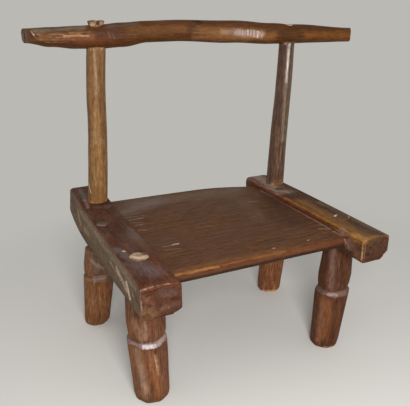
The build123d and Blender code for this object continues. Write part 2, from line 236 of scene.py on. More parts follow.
def outlines(corners: Sequence[tuple[Array, Array]]) -> Array:
    """(outlines, corners, 2), from each corner's two measures in every outline."""
    return np.stack([np.stack(corner, axis=1) for corner in corners], axis=1)


def rounded_sections(corners: Array, radii: Array, sides: Sequence[int], turns: int) -> Array:
    """Points round many convex outlines with rounded corners, alike in number and order.

    Args:
        corners: (outlines, corners, 2), anticlockwise.
        radii: (outlines, corners), the rounding of each corner.
        sides: points between each corner's rounding and the next one's.
        turns: steps round each corner.

    Returns:
        (outlines, points, 2).
    """
    before = np.roll(corners, 1, axis=1)
    into = corners - before
    into /= np.linalg.norm(into, axis=2, keepdims=True)
    out = np.roll(into, -1, axis=1)
    angle = np.arctan2(into[..., 0] * out[..., 1] - into[..., 1] * out[..., 0], (into * out).sum(2))
    inward = np.stack([-into[..., 1], into[..., 0]], axis=2)
    start = corners - into * (radii * np.tan(angle / 2))[..., None]
    centre = start + inward * radii[..., None]
    arm = -inward * radii[..., None]
    across = np.stack([-arm[..., 1], arm[..., 0]], axis=2)
    arcs = []
    for step in range(turns + 1):
        turned = (angle * step / turns)[..., None]
        arcs.append(centre + arm * np.cos(turned) + across * np.sin(turned))
    points = []
    for index, count in enumerate(sides):
        points.extend(arc[:, index] for arc in arcs)
        end, begin = arcs[-1][:, index], arcs[0][:, (index + 1) % len(sides)]
        points.extend(end + (begin - end) * share for share in np.linspace(0, 1, count + 2)[1:-1])
    return np.stack(points, axis=1)


def round_sections(centres: Array, radii: Array, turns: Array) -> Array:
    """Level rings (rings, points, 3), from a centre for each ring and a radius and turn for each point."""
    circle = np.stack([np.cos(turns), np.sin(turns), np.zeros_like(turns)], axis=1)
    return centres[:, None, :] + radii[..., None] * circle


def with_ends(rings: Array, steps: int) -> Array:
    """Rings with each open end closed in by smaller and smaller ones on its own plane.

    Args:
        rings: (rings, points, 3).
        steps: one more than the rings added at each end.

    Returns:
        The rings with the added ones before and after them.
    """
    low_centre, high_centre = rings[0].mean(axis=0), rings[-1].mean(axis=0)
    shares = np.linspace(0, 1, steps + 1)[1:-1]
    low = [low_centre + (rings[0] - low_centre) * share for share in shares]
    high = [high_centre + (rings[-1] - high_centre) * share for share in shares[::-1]]
    return np.concatenate([np.array(low), rings, np.array(high)])


@dataclass(frozen=True)
class Chip:
    """A flake lost along a plane: whatever stands beyond it, near its middle, is gone."""

    middle: Triple
    outwards: Triple
    reach: float
    roughness: float = 0.5
    wavelength: float = 4.0

    FADE = 0.2  # of the reach, over which the loss comes to nothing

    def cut(self, points: Array, noise: SolidNoise) -> Array:
        """Sets the points beyond the plane back on it.

        Args:
            points: (points, 3).
            noise: what the break's roughness is taken from.

        Returns:
            The points in their new places.
        """
        outwards = np.array(Vector(self.outwards).normalized())
        away = points - np.array(self.middle)
        beyond = away @ outwards + self.roughness * noise.at(points, self.wavelength)
        near = eased((self.reach - np.linalg.norm(away, axis=1)) / (self.FADE * self.reach))
        return points - np.outer(np.clip(beyond, 0, None) * near, outwards)


@dataclass(frozen=True)
class Dent:
    """A hollow pressed or cut into the surface, along a line between two points."""

    start: Triple
    end: Triple
    width: float
    depth: float

    def depth_at(self, points: Array) -> Array:
        """How deep the hollow is.

        Args:
            points: (points, 3).

        Returns:
            The depth at each point.
        """
        start, run = np.array(self.start), np.array(self.end) - np.array(self.start)
        along = np.clip((points - start) @ run / max(run @ run, 1e-9), 0, 1)
        away = np.linalg.norm(points - start - np.outer(along, run), axis=1)
        return self.depth * eased(1 - away / self.width)


class Carving:
    """A closed surface while it is being cut, in millimetres."""

    BROKEN_RADIUS = 12.0  # times a bend in 1/mm, this is 1 on a freshly broken edge

    def __init__(self, name: str, rings: Array) -> None:
        """Makes the surface from rings of points, closed to a point at both ends.

        Args:
            name: the mesh's name.
            rings: (rings, points, 3).
        """
        count, around, _ = rings.shape
        self.name = name
        points = np.concatenate([rings.reshape(-1, 3), rings[:1].mean(axis=1), rings[-1:].mean(axis=1)])
        index = np.arange(count * around).reshape(count, around)
        turned = np.roll(index, -1, axis=1)
        quads = np.stack([index[:-1], turned[:-1], turned[1:], index[1:]], axis=-1).reshape(-1, 4)
        first, last = count * around, count * around + 1
        fans = [(first, int(b), int(a)) for a, b in zip(index[0], turned[0])]
        fans += [(last, int(a), int(b)) for a, b in zip(index[-1], turned[-1])]
        self.mesh = bpy.data.meshes.new(name)
        self.mesh.from_pydata(points.tolist(), [], quads.tolist() + fans)
        corner = points[quads[:, 0]]
        sides = points[quads[:, 1]] - corner, points[quads[:, 3]] - corner
        outwards = corner - points.mean(axis=0)
        if (np.cross(*sides) * outwards).sum() < 0:
            self.mesh.flip_normals()

    @classmethod
    def rod(cls, low: Vector, high: Vector, radius: float) -> Carving:
        """A round rod between the middles of its ends, which are cut off level."""
        turns = np.linspace(0, 2 * pi, ROD_SIDES, endpoint=False)
        return cls("rod", with_ends(round_sections(np.array([low, high]), np.full((2, 1), radius), turns), 2))

    def points(self) -> Array:
        """Every vertex's place."""
        return triples(self.mesh.vertices, "co")

    def normals(self) -> Array:
        """Every vertex's outward direction."""
        return triples(self.mesh.vertex_normals, "vector")

    def move(self, points: Array) -> None:
        """Puts the vertices at new places."""
        self.mesh.vertices.foreach_set("co", points.ravel())
        self.mesh.update()

    def lower(self, depth: Array) -> None:
        """Sinks each vertex below the surface by its own depth."""
        self.move(self.points() - self.normals() * depth[:, None])

    def bore(self, cutters: Sequence[Carving]) -> None:
        """Cuts other closed surfaces out of this one, and removes them.

        Args:
            cutters: what is cut out.
        """
        body = placed(self.name, self.mesh)
        tool = placed(f"{self.name}_tool", joined([cutter.mesh for cutter in cutters]))
        cut = body.modifiers.new("cut", "BOOLEAN")
        cut.operation, cut.solver, cut.object = "DIFFERENCE", "EXACT", tool
        seen = body.evaluated_get(bpy.context.evaluated_depsgraph_get())
        self.mesh = bpy.data.meshes.new_from_object(seen)
        for thing in (body, tool):
            bpy.data.objects.remove(thing)

    def note_bends(self, spread: int) -> None:
        """Writes how sharply the surface bends out (arris) and in (hollow) at each vertex.

        Args:
            spread: how often each value is averaged with its neighbours'.
        """
        points, normals = self.points(), self.normals()
        ends = np.empty(len(self.mesh.edges) * 2, np.int32)
        self.mesh.edges.foreach_get("vertices", ends)
        first, second = ends.reshape(-1, 2).T
        step = points[second] - points[first]
        square = np.maximum((step * step).sum(axis=1), 1e-6)
        total = len(points)
        bend = np.bincount(first, -(step * normals[first]).sum(axis=1) / square, total)
        bend += np.bincount(second, (step * normals[second]).sum(axis=1) / square, total)
        count = np.maximum(np.bincount(first, None, total) + np.bincount(second, None, total), 1)
        bend /= count
        for _ in range(spread):
            near = np.bincount(first, bend[second], total) + np.bincount(second, bend[first], total)
            bend = (bend + near / count) / 2
        self.note("arris", bend * self.BROKEN_RADIUS)
        self.note("hollow", -bend * self.BROKEN_RADIUS)

    def note(self, name: str, values: Array) -> None:
        """Writes a value from 0 to 1 at each vertex under a name that the finish reads."""
        written = self.mesh.attributes.new(name, "FLOAT", "POINT")
        written.data.foreach_set("value", np.clip(values, 0, 1).astype(np.float32))


def joined(meshes: Sequence[bpy.types.Mesh]) -> bpy.types.Mesh:
    """One mesh that holds several.

    Args:
        meshes: what it is made of, which are removed.

    Returns:
        The mesh.
    """
    points: list[Sequence[float]] = []
    faces: list[list[int]] = []
    for mesh in meshes:
        start = len(points)
        points.extend(tuple(vertex.co) for vertex in mesh.vertices)
        faces.extend([start + index for index in face.vertices] for face in mesh.polygons)
        bpy.data.meshes.remove(mesh)
    made = bpy.data.meshes.new("cutters")
    made.from_pydata(points, [], faces)
    return made


# ---- shader nodes

class Bench:
    """Adds nodes to a tree and links them."""

    def __init__(self, tree: bpy.types.NodeTree) -> None:
        """Starts on a tree."""
        self.tree = tree

    @classmethod
    def emptied(cls, owner: bpy.types.Material | bpy.types.World) -> Bench:
        """Starts on the tree of a material or world, with nothing in it.

        Args:
            owner: the material or world.

        Returns:
            The bench.
        """
        owner.use_nodes = True
        owner.node_tree.nodes.clear()
        return cls(owner.node_tree)

    def add(self, kind: str, inputs: dict[str | int, NodeInput], **settings: object) -> bpy.types.Node:
        """A node with its settings, its sockets set to values or linked to other sockets.

        Args:
            kind: the node's type, without the "ShaderNode" that all begin with.
            inputs: value or source socket by the input's name or number.
            settings: the node's own properties.

        Returns:
            The node.
        """
        node = self.tree.nodes.new(f"ShaderNode{kind}")
        for name, value in settings.items():
            setattr(node, name, value)
        for name, value in inputs.items():
            if isinstance(value, Socket):
                self.tree.links.new(value, node.inputs[name])
            else:
                node.inputs[name].default_value = value
        return node

    def effect(self, kind: type[Effect], inputs: dict[str | int, NodeInput]) -> Sockets:
        """The outputs of a shared effect."""
        return self.add("Group", inputs, node_tree=kind.tree()).outputs

    def math(self, operation: str, *values: NodeInput) -> Socket:
        """The result of a Math node."""
        return self.add("Math", dict(enumerate(values)), operation=operation).outputs[0]

    def vector(self, operation: str, first: NodeInput, second: NodeInput) -> Socket:
        """The vector from a Vector Math node."""
        return self.add("VectorMath", {0: first, 1: second}, operation=operation).outputs[0]

    def times(self, vector: NodeInput, factor: NodeInput) -> Socket:
        """A vector or colour times one factor."""
        return self.add("VectorMath", {0: vector, 3: factor}, operation="SCALE").outputs[0]

    def measure(self, operation: str, first: NodeInput, second: NodeInput = (0, 0, 0)) -> Socket:
        """The number from a Vector Math node."""
        return self.add("VectorMath", {0: first, 1: second}, operation=operation).outputs[1]

    def triple(self, *values: NodeInput) -> Socket:
        """A vector from its parts."""
        return self.add("CombineXYZ", dict(enumerate(values))).outputs[0]

    def step(self, value: NodeInput, low: NodeInput, high: NodeInput) -> Socket:
        """0 below low, 1 above high, and smooth between them."""
        inputs = {"Value": value, "From Min": low, "From Max": high}
        return self.add("MapRange", inputs, interpolation_type="SMOOTHSTEP").outputs[0]

    def scaled(self, value: NodeInput, low: float, high: float) -> Socket:
        """A 0 to 1 value spread from low to high."""
        return self.add("MapRange", {"Value": value, "To Min": low, "To Max": high}).outputs[0]

    def around_one(self, value: NodeInput, change: float) -> Socket:
        """A 0 to 1 value as a factor that goes as far below one as above it."""
        return self.scaled(value, 1 - change, 1 + change)

    def mix(self, mask: NodeInput, under: NodeInput, over: NodeInput) -> Socket:
        """A colour laid over another one, as far as the mask says."""
        return self.add("Mix", {0: mask, 6: under, 7: over}, data_type="RGBA").outputs[2]

    def noise(self, place: NodeInput, detail: float, roughness: float, distortion: float = 0.0) -> Socket:
        """Noise with features one unit of the place apart."""
        sizes = {"Scale": 1.0, "Detail": detail, "Roughness": roughness, "Distortion": distortion}
        return self.add("TexNoise", {"Vector": place} | sizes).outputs[0]


class Effect(ABC):
    """A shader group that several woods share, built once."""

    name: str
    inputs: dict[str, str]
    outputs: tuple[str, ...]

    @classmethod
    def tree(cls) -> bpy.types.NodeTree:
        """The group, built the first time that it is asked for.

        Returns:
            The group's node tree.
        """
        found = bpy.data.node_groups.get(cls.name)
        if found:
            return found
        made = bpy.data.node_groups.new(cls.name, "ShaderNodeTree")
        for socket, kind in cls.inputs.items():
            made.interface.new_socket(socket, in_out="INPUT", socket_type=f"NodeSocket{kind}")
        for socket in cls.outputs:
            made.interface.new_socket(socket, in_out="OUTPUT", socket_type="NodeSocketFloat")
        entry, result = made.nodes.new("NodeGroupInput"), made.nodes.new("NodeGroupOutput")
        for socket, value in zip(cls.outputs, cls.wire(Bench(made), entry.outputs)):
            made.links.new(value, result.inputs[socket])
        return made

    @classmethod
    @abstractmethod
    def wire(cls, bench: Bench, given: Sockets) -> list[Socket]:
        """Lays the group's nodes.

        Args:
            bench: the bench on its tree.
            given: its inputs.

        Returns:
            The source of each output.
        """


class Fibres(Effect):
    """Wood along the place's third axis: fine fibres, wider streaks, growth rings and dark pores."""

    name = "wood_fibres"
    inputs = {"Place": "Vector", "Pith": "Vector", "Pitch": "Float", "Length": "Float", "Warp": "Float"}
    outputs = ("Fibre", "Streak", "Ring", "Pores")

    WARP_SCALE = 0.014
    FIBRES = (1.8, 1.8, 1.3)  # how many to a pitch, by axis
    STREAKS = (0.55, 0.55, 0.7)
    PORES = (1.1, 1.1, 0.8)
    RINGS = 0.3
    RINGS_ALONG = 0.25

    @classmethod
    def wire(cls, bench: Bench, given: Sockets) -> list[Socket]:
        """Lays the group's nodes.

        Args:
            bench: the bench on its tree.
            given: its inputs.

        Returns:
            The source of each output.
        """
        warp = bench.add("TexNoise", {"Vector": given["Place"], "Scale": cls.WARP_SCALE, "Detail": 2.0})
        shift = bench.vector("SUBTRACT", warp.outputs[1], (0.5, 0.5, 0.5))
        place = bench.vector("ADD", given["Place"], bench.times(shift, given["Warp"]))
        long_pitch = bench.math("MULTIPLY", given["Pitch"], given["Length"])
        size = bench.triple(given["Pitch"], given["Pitch"], long_pitch)
        run = bench.vector("DIVIDE", place, size)
        fibre = bench.noise(bench.vector("MULTIPLY", run, cls.FIBRES), 4.0, 0.6)
        streak = bench.noise(bench.vector("MULTIPLY", run, cls.STREAKS), 5.0, 0.66, 0.2)
        from_pith = bench.vector("SUBTRACT", run, bench.vector("DIVIDE", given["Pith"], size))
        radius = bench.measure("LENGTH", bench.vector("MULTIPLY", from_pith, (1.0, 1.0, 0.0)))
        along = bench.add("SeparateXYZ", {0: run}).outputs[2]
        rings = [bench.math("MULTIPLY", radius, cls.RINGS), bench.math("MULTIPLY", along, cls.RINGS_ALONG)]
        ring = bench.noise(bench.triple(*rings), 3.0, 0.55, 0.3)
        pore = bench.noise(bench.vector("MULTIPLY", run, cls.PORES), 3.0, 0.55)
        steps = ((fibre, 0.3, 0.7), (streak, 0.3, 0.7), (ring, 0.32, 0.68), (pore, 0.6, 0.7))
        return [bench.step(value, low, high) for value, low, high in steps]


class KnifeCuts(Effect):
    """Long shallow cuts side by side, as a knife or adze leaves them."""

    name = "knife_cuts"
    inputs = {"Place": "Vector", "Width": "Float", "Length": "Float"}
    outputs = ("Height", "Tone")

    JITTER_SCALE = 1.3

    @classmethod
    def wire(cls, bench: Bench, given: Sockets) -> list[Socket]:
        """Lays the group's nodes.

        Args:
            bench: the bench on its tree.
            given: its inputs.

        Returns:
            The source of each output.
        """
        size = bench.triple(given["Width"], given["Width"], given["Length"])
        place = bench.vector("DIVIDE", given["Place"], size)
        jitter = bench.add("TexNoise", {"Vector": place, "Scale": cls.JITTER_SCALE, "Detail": 1.0}).outputs[1]
        bent = bench.vector("ADD", place, bench.vector("MULTIPLY", jitter, (0.5, 0.5, 0.5)))
        cells = bench.add("TexVoronoi", {"Vector": bent, "Scale": 1.0}, feature="SMOOTH_F1")
        tone = bench.add("SeparateColor", {"Color": cells.outputs["Color"]}).outputs[0]
        return [cells.outputs["Distance"], tone]


class Frayed(Effect):
    """A mask with a broken, fibrous edge, from a value that fades smoothly."""

    name = "frayed_mask"
    inputs = {"Value": "Float", "Place": "Vector", "Start": "Float", "Ragged": "Float"}
    outputs = ("Mask",)

    BREAKS = (0.24, 0.24, 0.06)  # in a millimetre, by axis
    SOFTNESS = 0.3

    @classmethod
    def wire(cls, bench: Bench, given: Sockets) -> list[Socket]:
        """Lays the group's nodes.

        Args:
            bench: the bench on its tree.
            given: its inputs.

        Returns:
            The source of each output.
        """
        place = bench.vector("MULTIPLY", given["Place"], cls.BREAKS)
        breaks = bench.math("SUBTRACT", bench.noise(place, 5.0, 0.62), 0.5)
        value = bench.math("MULTIPLY_ADD", breaks, given["Ragged"], given["Value"])
        return [bench.step(value, given["Start"], bench.math("ADD", given["Start"], cls.SOFTNESS))]


class Patina(Effect):
    """Cloudy changes of tone over a hand's breadth, finer blotches, and dirt gathered in the hollows."""

    name = "patina"
    inputs = {"Hollow": "Float", "Place": "Vector", "Size": "Float"}
    outputs = ("Cloud", "Mottle", "Dirt")

    CLOUD_LENGTH = 1.8
    BLOTCHES = (0.22, 0.22, 0.09)  # in a millimetre, by axis
    SPECKS = (6.0, 6.0, 6.0)  # in a cloud, by axis

    @classmethod
    def wire(cls, bench: Bench, given: Sockets) -> list[Socket]:
        """Lays the group's nodes.

        Args:
            bench: the bench on its tree.
            given: its inputs.

        Returns:
            The source of each output.
        """
        length = bench.math("MULTIPLY", given["Size"], cls.CLOUD_LENGTH)
        place = bench.vector("DIVIDE", given["Place"], bench.triple(given["Size"], given["Size"], length))
        cloud = bench.noise(place, 4.0, 0.6, 0.3)
        blotch = bench.noise(bench.vector("MULTIPLY", given["Place"], cls.BLOTCHES), 5.0, 0.74, 0.3)
        fine = bench.noise(bench.vector("MULTIPLY", place, cls.SPECKS), 3.0, 0.6)
        dirt = bench.math("MULTIPLY_ADD", given["Hollow"], 1.4, bench.math("MULTIPLY", fine, 0.3))
        return [bench.step(cloud, 0.42, 0.62), bench.step(blotch, 0.34, 0.66), bench.step(dirt, 0.35, 1.0)]


class Stroke(Effect):
    """One mark on the surface: a spot, patch, scratch, stain, painted highlight or painted shade along a
    line.
    """

    name = "stroke"
    inputs = {
        "Place": "Vector", "Start": "Vector", "Run": "Vector", "Width": "Float", "Core": "Float",
        "Ragged": "Float", "Pitch": "Vector",
    }
    outputs = ("Mask",)

    @classmethod
    def wire(cls, bench: Bench, given: Sockets) -> list[Socket]:
        """Lays the group's nodes.

        Args:
            bench: the bench on its tree.
            given: its inputs.

        Returns:
            The source of each output.
        """
        away = bench.vector("SUBTRACT", given["Place"], given["Start"])
        along = bench.measure("DOT_PRODUCT", away, given["Run"])
        square = bench.measure("DOT_PRODUCT", given["Run"], given["Run"])
        share = bench.math("DIVIDE", along, bench.math("MAXIMUM", square, 1e-4))
        held = bench.add("Clamp", {0: share}).outputs[0]
        gap = bench.measure("DISTANCE", away, bench.times(given["Run"], held))
        grit = bench.noise(bench.vector("DIVIDE", given["Place"], given["Pitch"]), 4.0, 0.65)
        reach = bench.math("DIVIDE", gap, given["Width"])
        edge = bench.math("MULTIPLY_ADD", bench.math("SUBTRACT", grit, 0.5), given["Ragged"], reach)
        return [bench.math("SUBTRACT", 1.0, bench.step(edge, given["Core"], 1.0))]


# ---- finishes

@dataclass(frozen=True)
class Mark:
    """A mark of use, painted highlight or painted shade on one piece, in the shared frame: where it runs, how
    wide, what colour.

    A positive rise stands proud in millimetres and a negative one lies deeper; polish makes
    the place glossier; core is the share of the width that shows the colour in full.
    """

    start: Triple
    end: Triple
    width: float
    colour: Colour
    strength: float = 0.8
    ragged: float = 1.2
    pitch: tuple[float, ...] = (3.0, 9.0)  # of its broken edge: across, along; or both ways across, along
    rise: float = 0.0
    polish: float = 0.0
    core: float = 0.45

    def laid_on(self, points: Array, normals: Array) -> Mark:
        """The mark with both its ends moved straight on to a surface.

        Args:
            points: the surface's vertices.
            normals: their outward directions.

        Returns:
            The moved mark.
        """
        ends = []
        for end in (self.start, self.end):
            nearest = np.linalg.norm(points - end, axis=1).argmin()
            rise = (end - points[nearest]) @ normals[nearest]
            ends.append(tuple(end - rise * normals[nearest]))
        return replace(self, start=ends[0], end=ends[1])


@dataclass(frozen=True)
class WoodFinish:
    """How one piece's wood looks: its tones, grain, wear and polish."""

    deep: Colour
    body: Colour
    pale: Colour
    cloud: Colour
    worn: Colour
    bare: Colour = 0xB08C76
    aged: Colour = 0x685648
    dirt: Colour = 0x1E1410
    pith: Triple = (0.0, 0.0, 0.0)
    pitch: float = 1.0
    length: float = 30.0  # of a fibre, in pitches
    warp: float = 2.0
    rings: float = 0.08
    contrast: float = 0.12
    pores: float = 0.3
    cloud_size: float = 16.0
    cloud_share: float = 0.5
    mottle: float = 0.26
    dirt_share: float = 1.0
    wear_share: float = 0.6
    knife_depth: float = 0.2
    knife_tone: float = 0.12
    relief: float = 0.3
    roughness: tuple[float, float] = (0.42, 0.68)
    shine: float = 0.13

    def material(self, name: str, marks: Sequence[Mark], grain: Matrix) -> bpy.types.Material:
        """The finish as a material of one piece.

        Args:
            name: the material's name.
            marks: the piece's own marks, in the shared frame.
            grain: the piece's place, its third axis along the grain.

        Returns:
            The material.
        """
        made = bpy.data.materials.new(name)
        bench = Bench.emptied(made)
        dressing = Dressing(self, bench, grain)
        dressing.lay_wood()
        dressing.lay_wear()
        for mark in marks:
            dressing.lay_mark(mark)
        bench.add("OutputMaterial", {"Surface": dressing.surface()})
        return made


class Dressing:
    """A finish while it is laid on one piece, layer over layer."""

    KNIFE_SIZE = {"Width": 9.0, "Length": 60.0}
    PORE_DEPTH = 0.5  # of the fibres' relief
    AGED_SHARE = 0.85
    BARE_SHARE = 0.9
    STREAK_GLOSS = 0.4
    CLOUD_GLOSS = 0.6

    def __init__(self, finish: WoodFinish, bench: Bench, grain: Matrix) -> None:
        """Finds each spot's place along and across the grain, and what every layer is made from.

        Args:
            finish: the wood's tones and measures.
            bench: the bench on the material's tree.
            grain: the piece's place, its third axis along the grain.
        """
        self.finish, self.bench, self.inverse = finish, bench, grain.inverted()
        own = bench.add("TexCoord", {}).outputs["Object"]
        turned = {"Vector": own, "Rotation": self.inverse.to_euler(), "Scale": (1 / MM, 1 / MM, 1 / MM)}
        self.place = bench.add("Mapping", turned).outputs[0]
        place = {"Place": self.place}
        fibres = {"Pith": finish.pith, "Pitch": finish.pitch, "Length": finish.length, "Warp": finish.warp}
        self.wood = bench.effect(Fibres, place | fibres)
        self.cuts = bench.effect(KnifeCuts, place | self.KNIFE_SIZE)
        self.age = bench.effect(Patina, place | {"Hollow": self.note("hollow"), "Size": finish.cloud_size})

    def note(self, name: str) -> Socket:
        """What the carving wrote on the surface under a name."""
        return self.bench.add("Attribute", {}, attribute_name=name).outputs["Fac"]

    def frayed(self, name: str, start: float, ragged: float) -> Socket:
        """The broken-edged mask of one of the surface's notes."""
        inputs = {"Value": self.note(name), "Place": self.place, "Start": start, "Ragged": ragged}
        return self.bench.effect(Frayed, inputs)["Mask"]

    def cover(self, mask: Socket, share: float, colour: Colour) -> None:
        """Lays a colour over what is there, as far as a share of the mask says."""
        self.colour = self.bench.mix(self.bench.math("MULTIPLY", mask, share), self.colour, light(colour))

    def lay_wood(self) -> None:
        """Lays the wood's streaks and clouds, and its relief."""
        bench, finish, streak = self.bench, self.finish, self.wood["Streak"]
        self.colour = bench.mix(bench.step(streak, 0.0, 0.5), light(finish.deep), light(finish.body))
        self.colour = bench.mix(bench.step(streak, 0.55, 1.0), self.colour, light(finish.pale))
        self.cover(self.age["Cloud"], finish.cloud_share, finish.cloud)
        clouded = bench.math("MULTIPLY_ADD", self.age["Cloud"], -self.CLOUD_GLOSS, 1.0)
        self.gloss = bench.math("MULTIPLY_ADD", streak, -self.STREAK_GLOSS, clouded)
        height = bench.math("MULTIPLY", self.wood["Fibre"], finish.relief)
        height = bench.math("MULTIPLY_ADD", self.wood["Pores"], -self.PORE_DEPTH * finish.relief, height)
        self.height = bench.math("MULTIPLY_ADD", self.cuts["Height"], finish.knife_depth, height)

    def lay_wear(self) -> None:
        """Lays what is greyed, the pores, the rubbed arrises and the freshly cut wood."""
        bench, finish = self.bench, self.finish
        aged = bench.math("MULTIPLY", self.frayed("aged", 0.35, 0.9), self.AGED_SHARE)
        self.colour = bench.mix(aged, self.colour, light(finish.aged))
        self.cover(self.wood["Pores"], finish.pores, finish.dirt)
        self.cover(self.frayed("arris", 0.45, 1.3), finish.wear_share, finish.worn)
        bare = self.frayed("bare", 0.3, 0.8)
        self.cover(bare, self.BARE_SHARE, finish.bare)
        self.gloss = bench.math("MAXIMUM", self.gloss, bench.math("MAXIMUM", bare, aged))

    def lay_mark(self, mark: Mark) -> None:
        """Lays one mark of use, painted highlight or painted shade.

        Args:
            mark: the mark, on the surface.
        """
        bench, start = self.bench, self.inverse @ Vector(mark.start)
        line = {"Start": start, "Run": self.inverse @ Vector(mark.end) - start, "Width": mark.width}
        pitch = (mark.pitch[0], *mark.pitch)[-3:]
        edge = {"Core": mark.core, "Ragged": mark.ragged, "Pitch": pitch}
        mask = bench.effect(Stroke, {"Place": self.place} | line | edge)["Mask"]
        self.cover(mask, mark.strength, mark.colour)
        if mark.rise:
            self.height = bench.math("MULTIPLY_ADD", mask, mark.rise, self.height)
        if mark.polish:
            self.gloss = bench.math("MULTIPLY_ADD", mask, -mark.polish, self.gloss)

    def surface(self) -> Socket:
        """Brings the layers together under the grain's lights and darks, and the dirt.

        Returns:
            The surface for the material's output.
        """
        bench, finish = self.bench, self.finish
        changes = (
            (self.wood["Ring"], finish.rings),
            (self.cuts["Tone"], finish.knife_tone),
            (self.age["Mottle"], finish.mottle),
        )
        tone = bench.around_one(self.wood["Fibre"], finish.contrast)
        for value, change in changes:
            tone = bench.math("MULTIPLY", tone, bench.around_one(value, change))
        self.colour = bench.times(self.colour, tone)
        self.cover(self.age["Dirt"], finish.dirt_share, finish.dirt)
        bump = bench.add("Bump", {"Strength": 1.0, "Distance": MM, "Height": self.height}).outputs[0]
        gloss = {"Roughness": bench.scaled(self.gloss, *finish.roughness), "Specular IOR Level": finish.shine}
        return bench.add("BsdfPrincipled", {"Base Color": self.colour, "Normal": bump} | gloss).outputs[0]


# ---- pieces

class Side(IntEnum):
    """Which side rail a piece stands on."""

    LEFT = -1
    RIGHT = 1


@dataclass(frozen=True)
class Datum:
    """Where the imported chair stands: the middle of its seat and the front of its rails."""

    middle: float
    front: float

    @classmethod
    def of_frame(cls) -> Datum:
        """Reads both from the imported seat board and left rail."""
        (low, high), (rail_low, _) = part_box("seat_board"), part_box("left_rail")
        return cls((low.x + high.x) / 2 / MM, rail_low.y / MM)

    def at(self, side: Side, out: float, back: float, height: float) -> Vector:
        """A point by its side, its distance out from the rail's inner face, and back from the front."""
        return Vector((self.middle + side * (RAIL_GAP / 2 + out), self.front + back, height))


@dataclass(kw_only=True)
class Piece(ABC):
    """One piece of wood: carved, dressed and set in the frame."""

    node: str
    finish: Wood
    seed: int
    marks: tuple[Mark, ...] = ()
    dents: tuple[Dent, ...] = ()

    WEAR_SPREAD = 3

    @abstractmethod
    def carve(self) -> Carving:
        """The piece's surface in millimetres in the shared frame."""

    def begun(self, rings: Array, steps: int) -> tuple[Carving, Array, Array]:
        """The uncut surface, closed at both ends, with its vertices and their outward directions."""
        carving = Carving(self.node, with_ends(rings, steps))
        return carving, carving.points(), carving.normals()

    @abstractmethod
    def grain(self) -> Matrix:
        """The piece's place in millimetres, its grain along the third axis."""

    def bare(self, points: Array, normals: Array) -> Array:
        """How far each vertex shows pale, freshly cut wood; none unless a piece says so."""
        return np.zeros(len(points))

    def aged(self, points: Array, normals: Array) -> Array:
        """How far each vertex is dull and greyed; none unless a piece says so."""
        return np.zeros(len(points))

    def dented(self, points: Array) -> Array:
        """How deep the piece's dents are at each point."""
        return sum((dent.depth_at(points) for dent in self.dents), np.zeros(len(points)))

    def build(self) -> None:
        """Carves the piece, dresses it and lets it stand for its node."""
        carving, grain = self.carve(), self.grain()
        carving.note_bends(self.WEAR_SPREAD)
        points, normals = carving.points(), carving.normals()
        carving.note("bare", self.bare(points, normals))
        carving.note("aged", self.aged(points, normals))
        mesh = carving.mesh
        mesh.transform(Matrix.Scale(MM, 4) @ Matrix.Translation(-grain.translation))
        mesh.shade_smooth()
        mesh.set_sharp_from_angle(angle=CREASE)
        name = f"{self.node}_wood"
        mesh.name = name
        mesh.materials.clear()
        marks = [mark.laid_on(points, normals) for mark in self.marks]
        mesh.materials.append(self.finish.value.material(name, marks, grain))
        piece = placed(name, mesh)
        piece.location = grain.translation * MM
        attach(piece, BODY)
        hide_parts(self.node)
        log.info("%s stands for %s with %d faces", name, self.node, len(mesh.polygons))


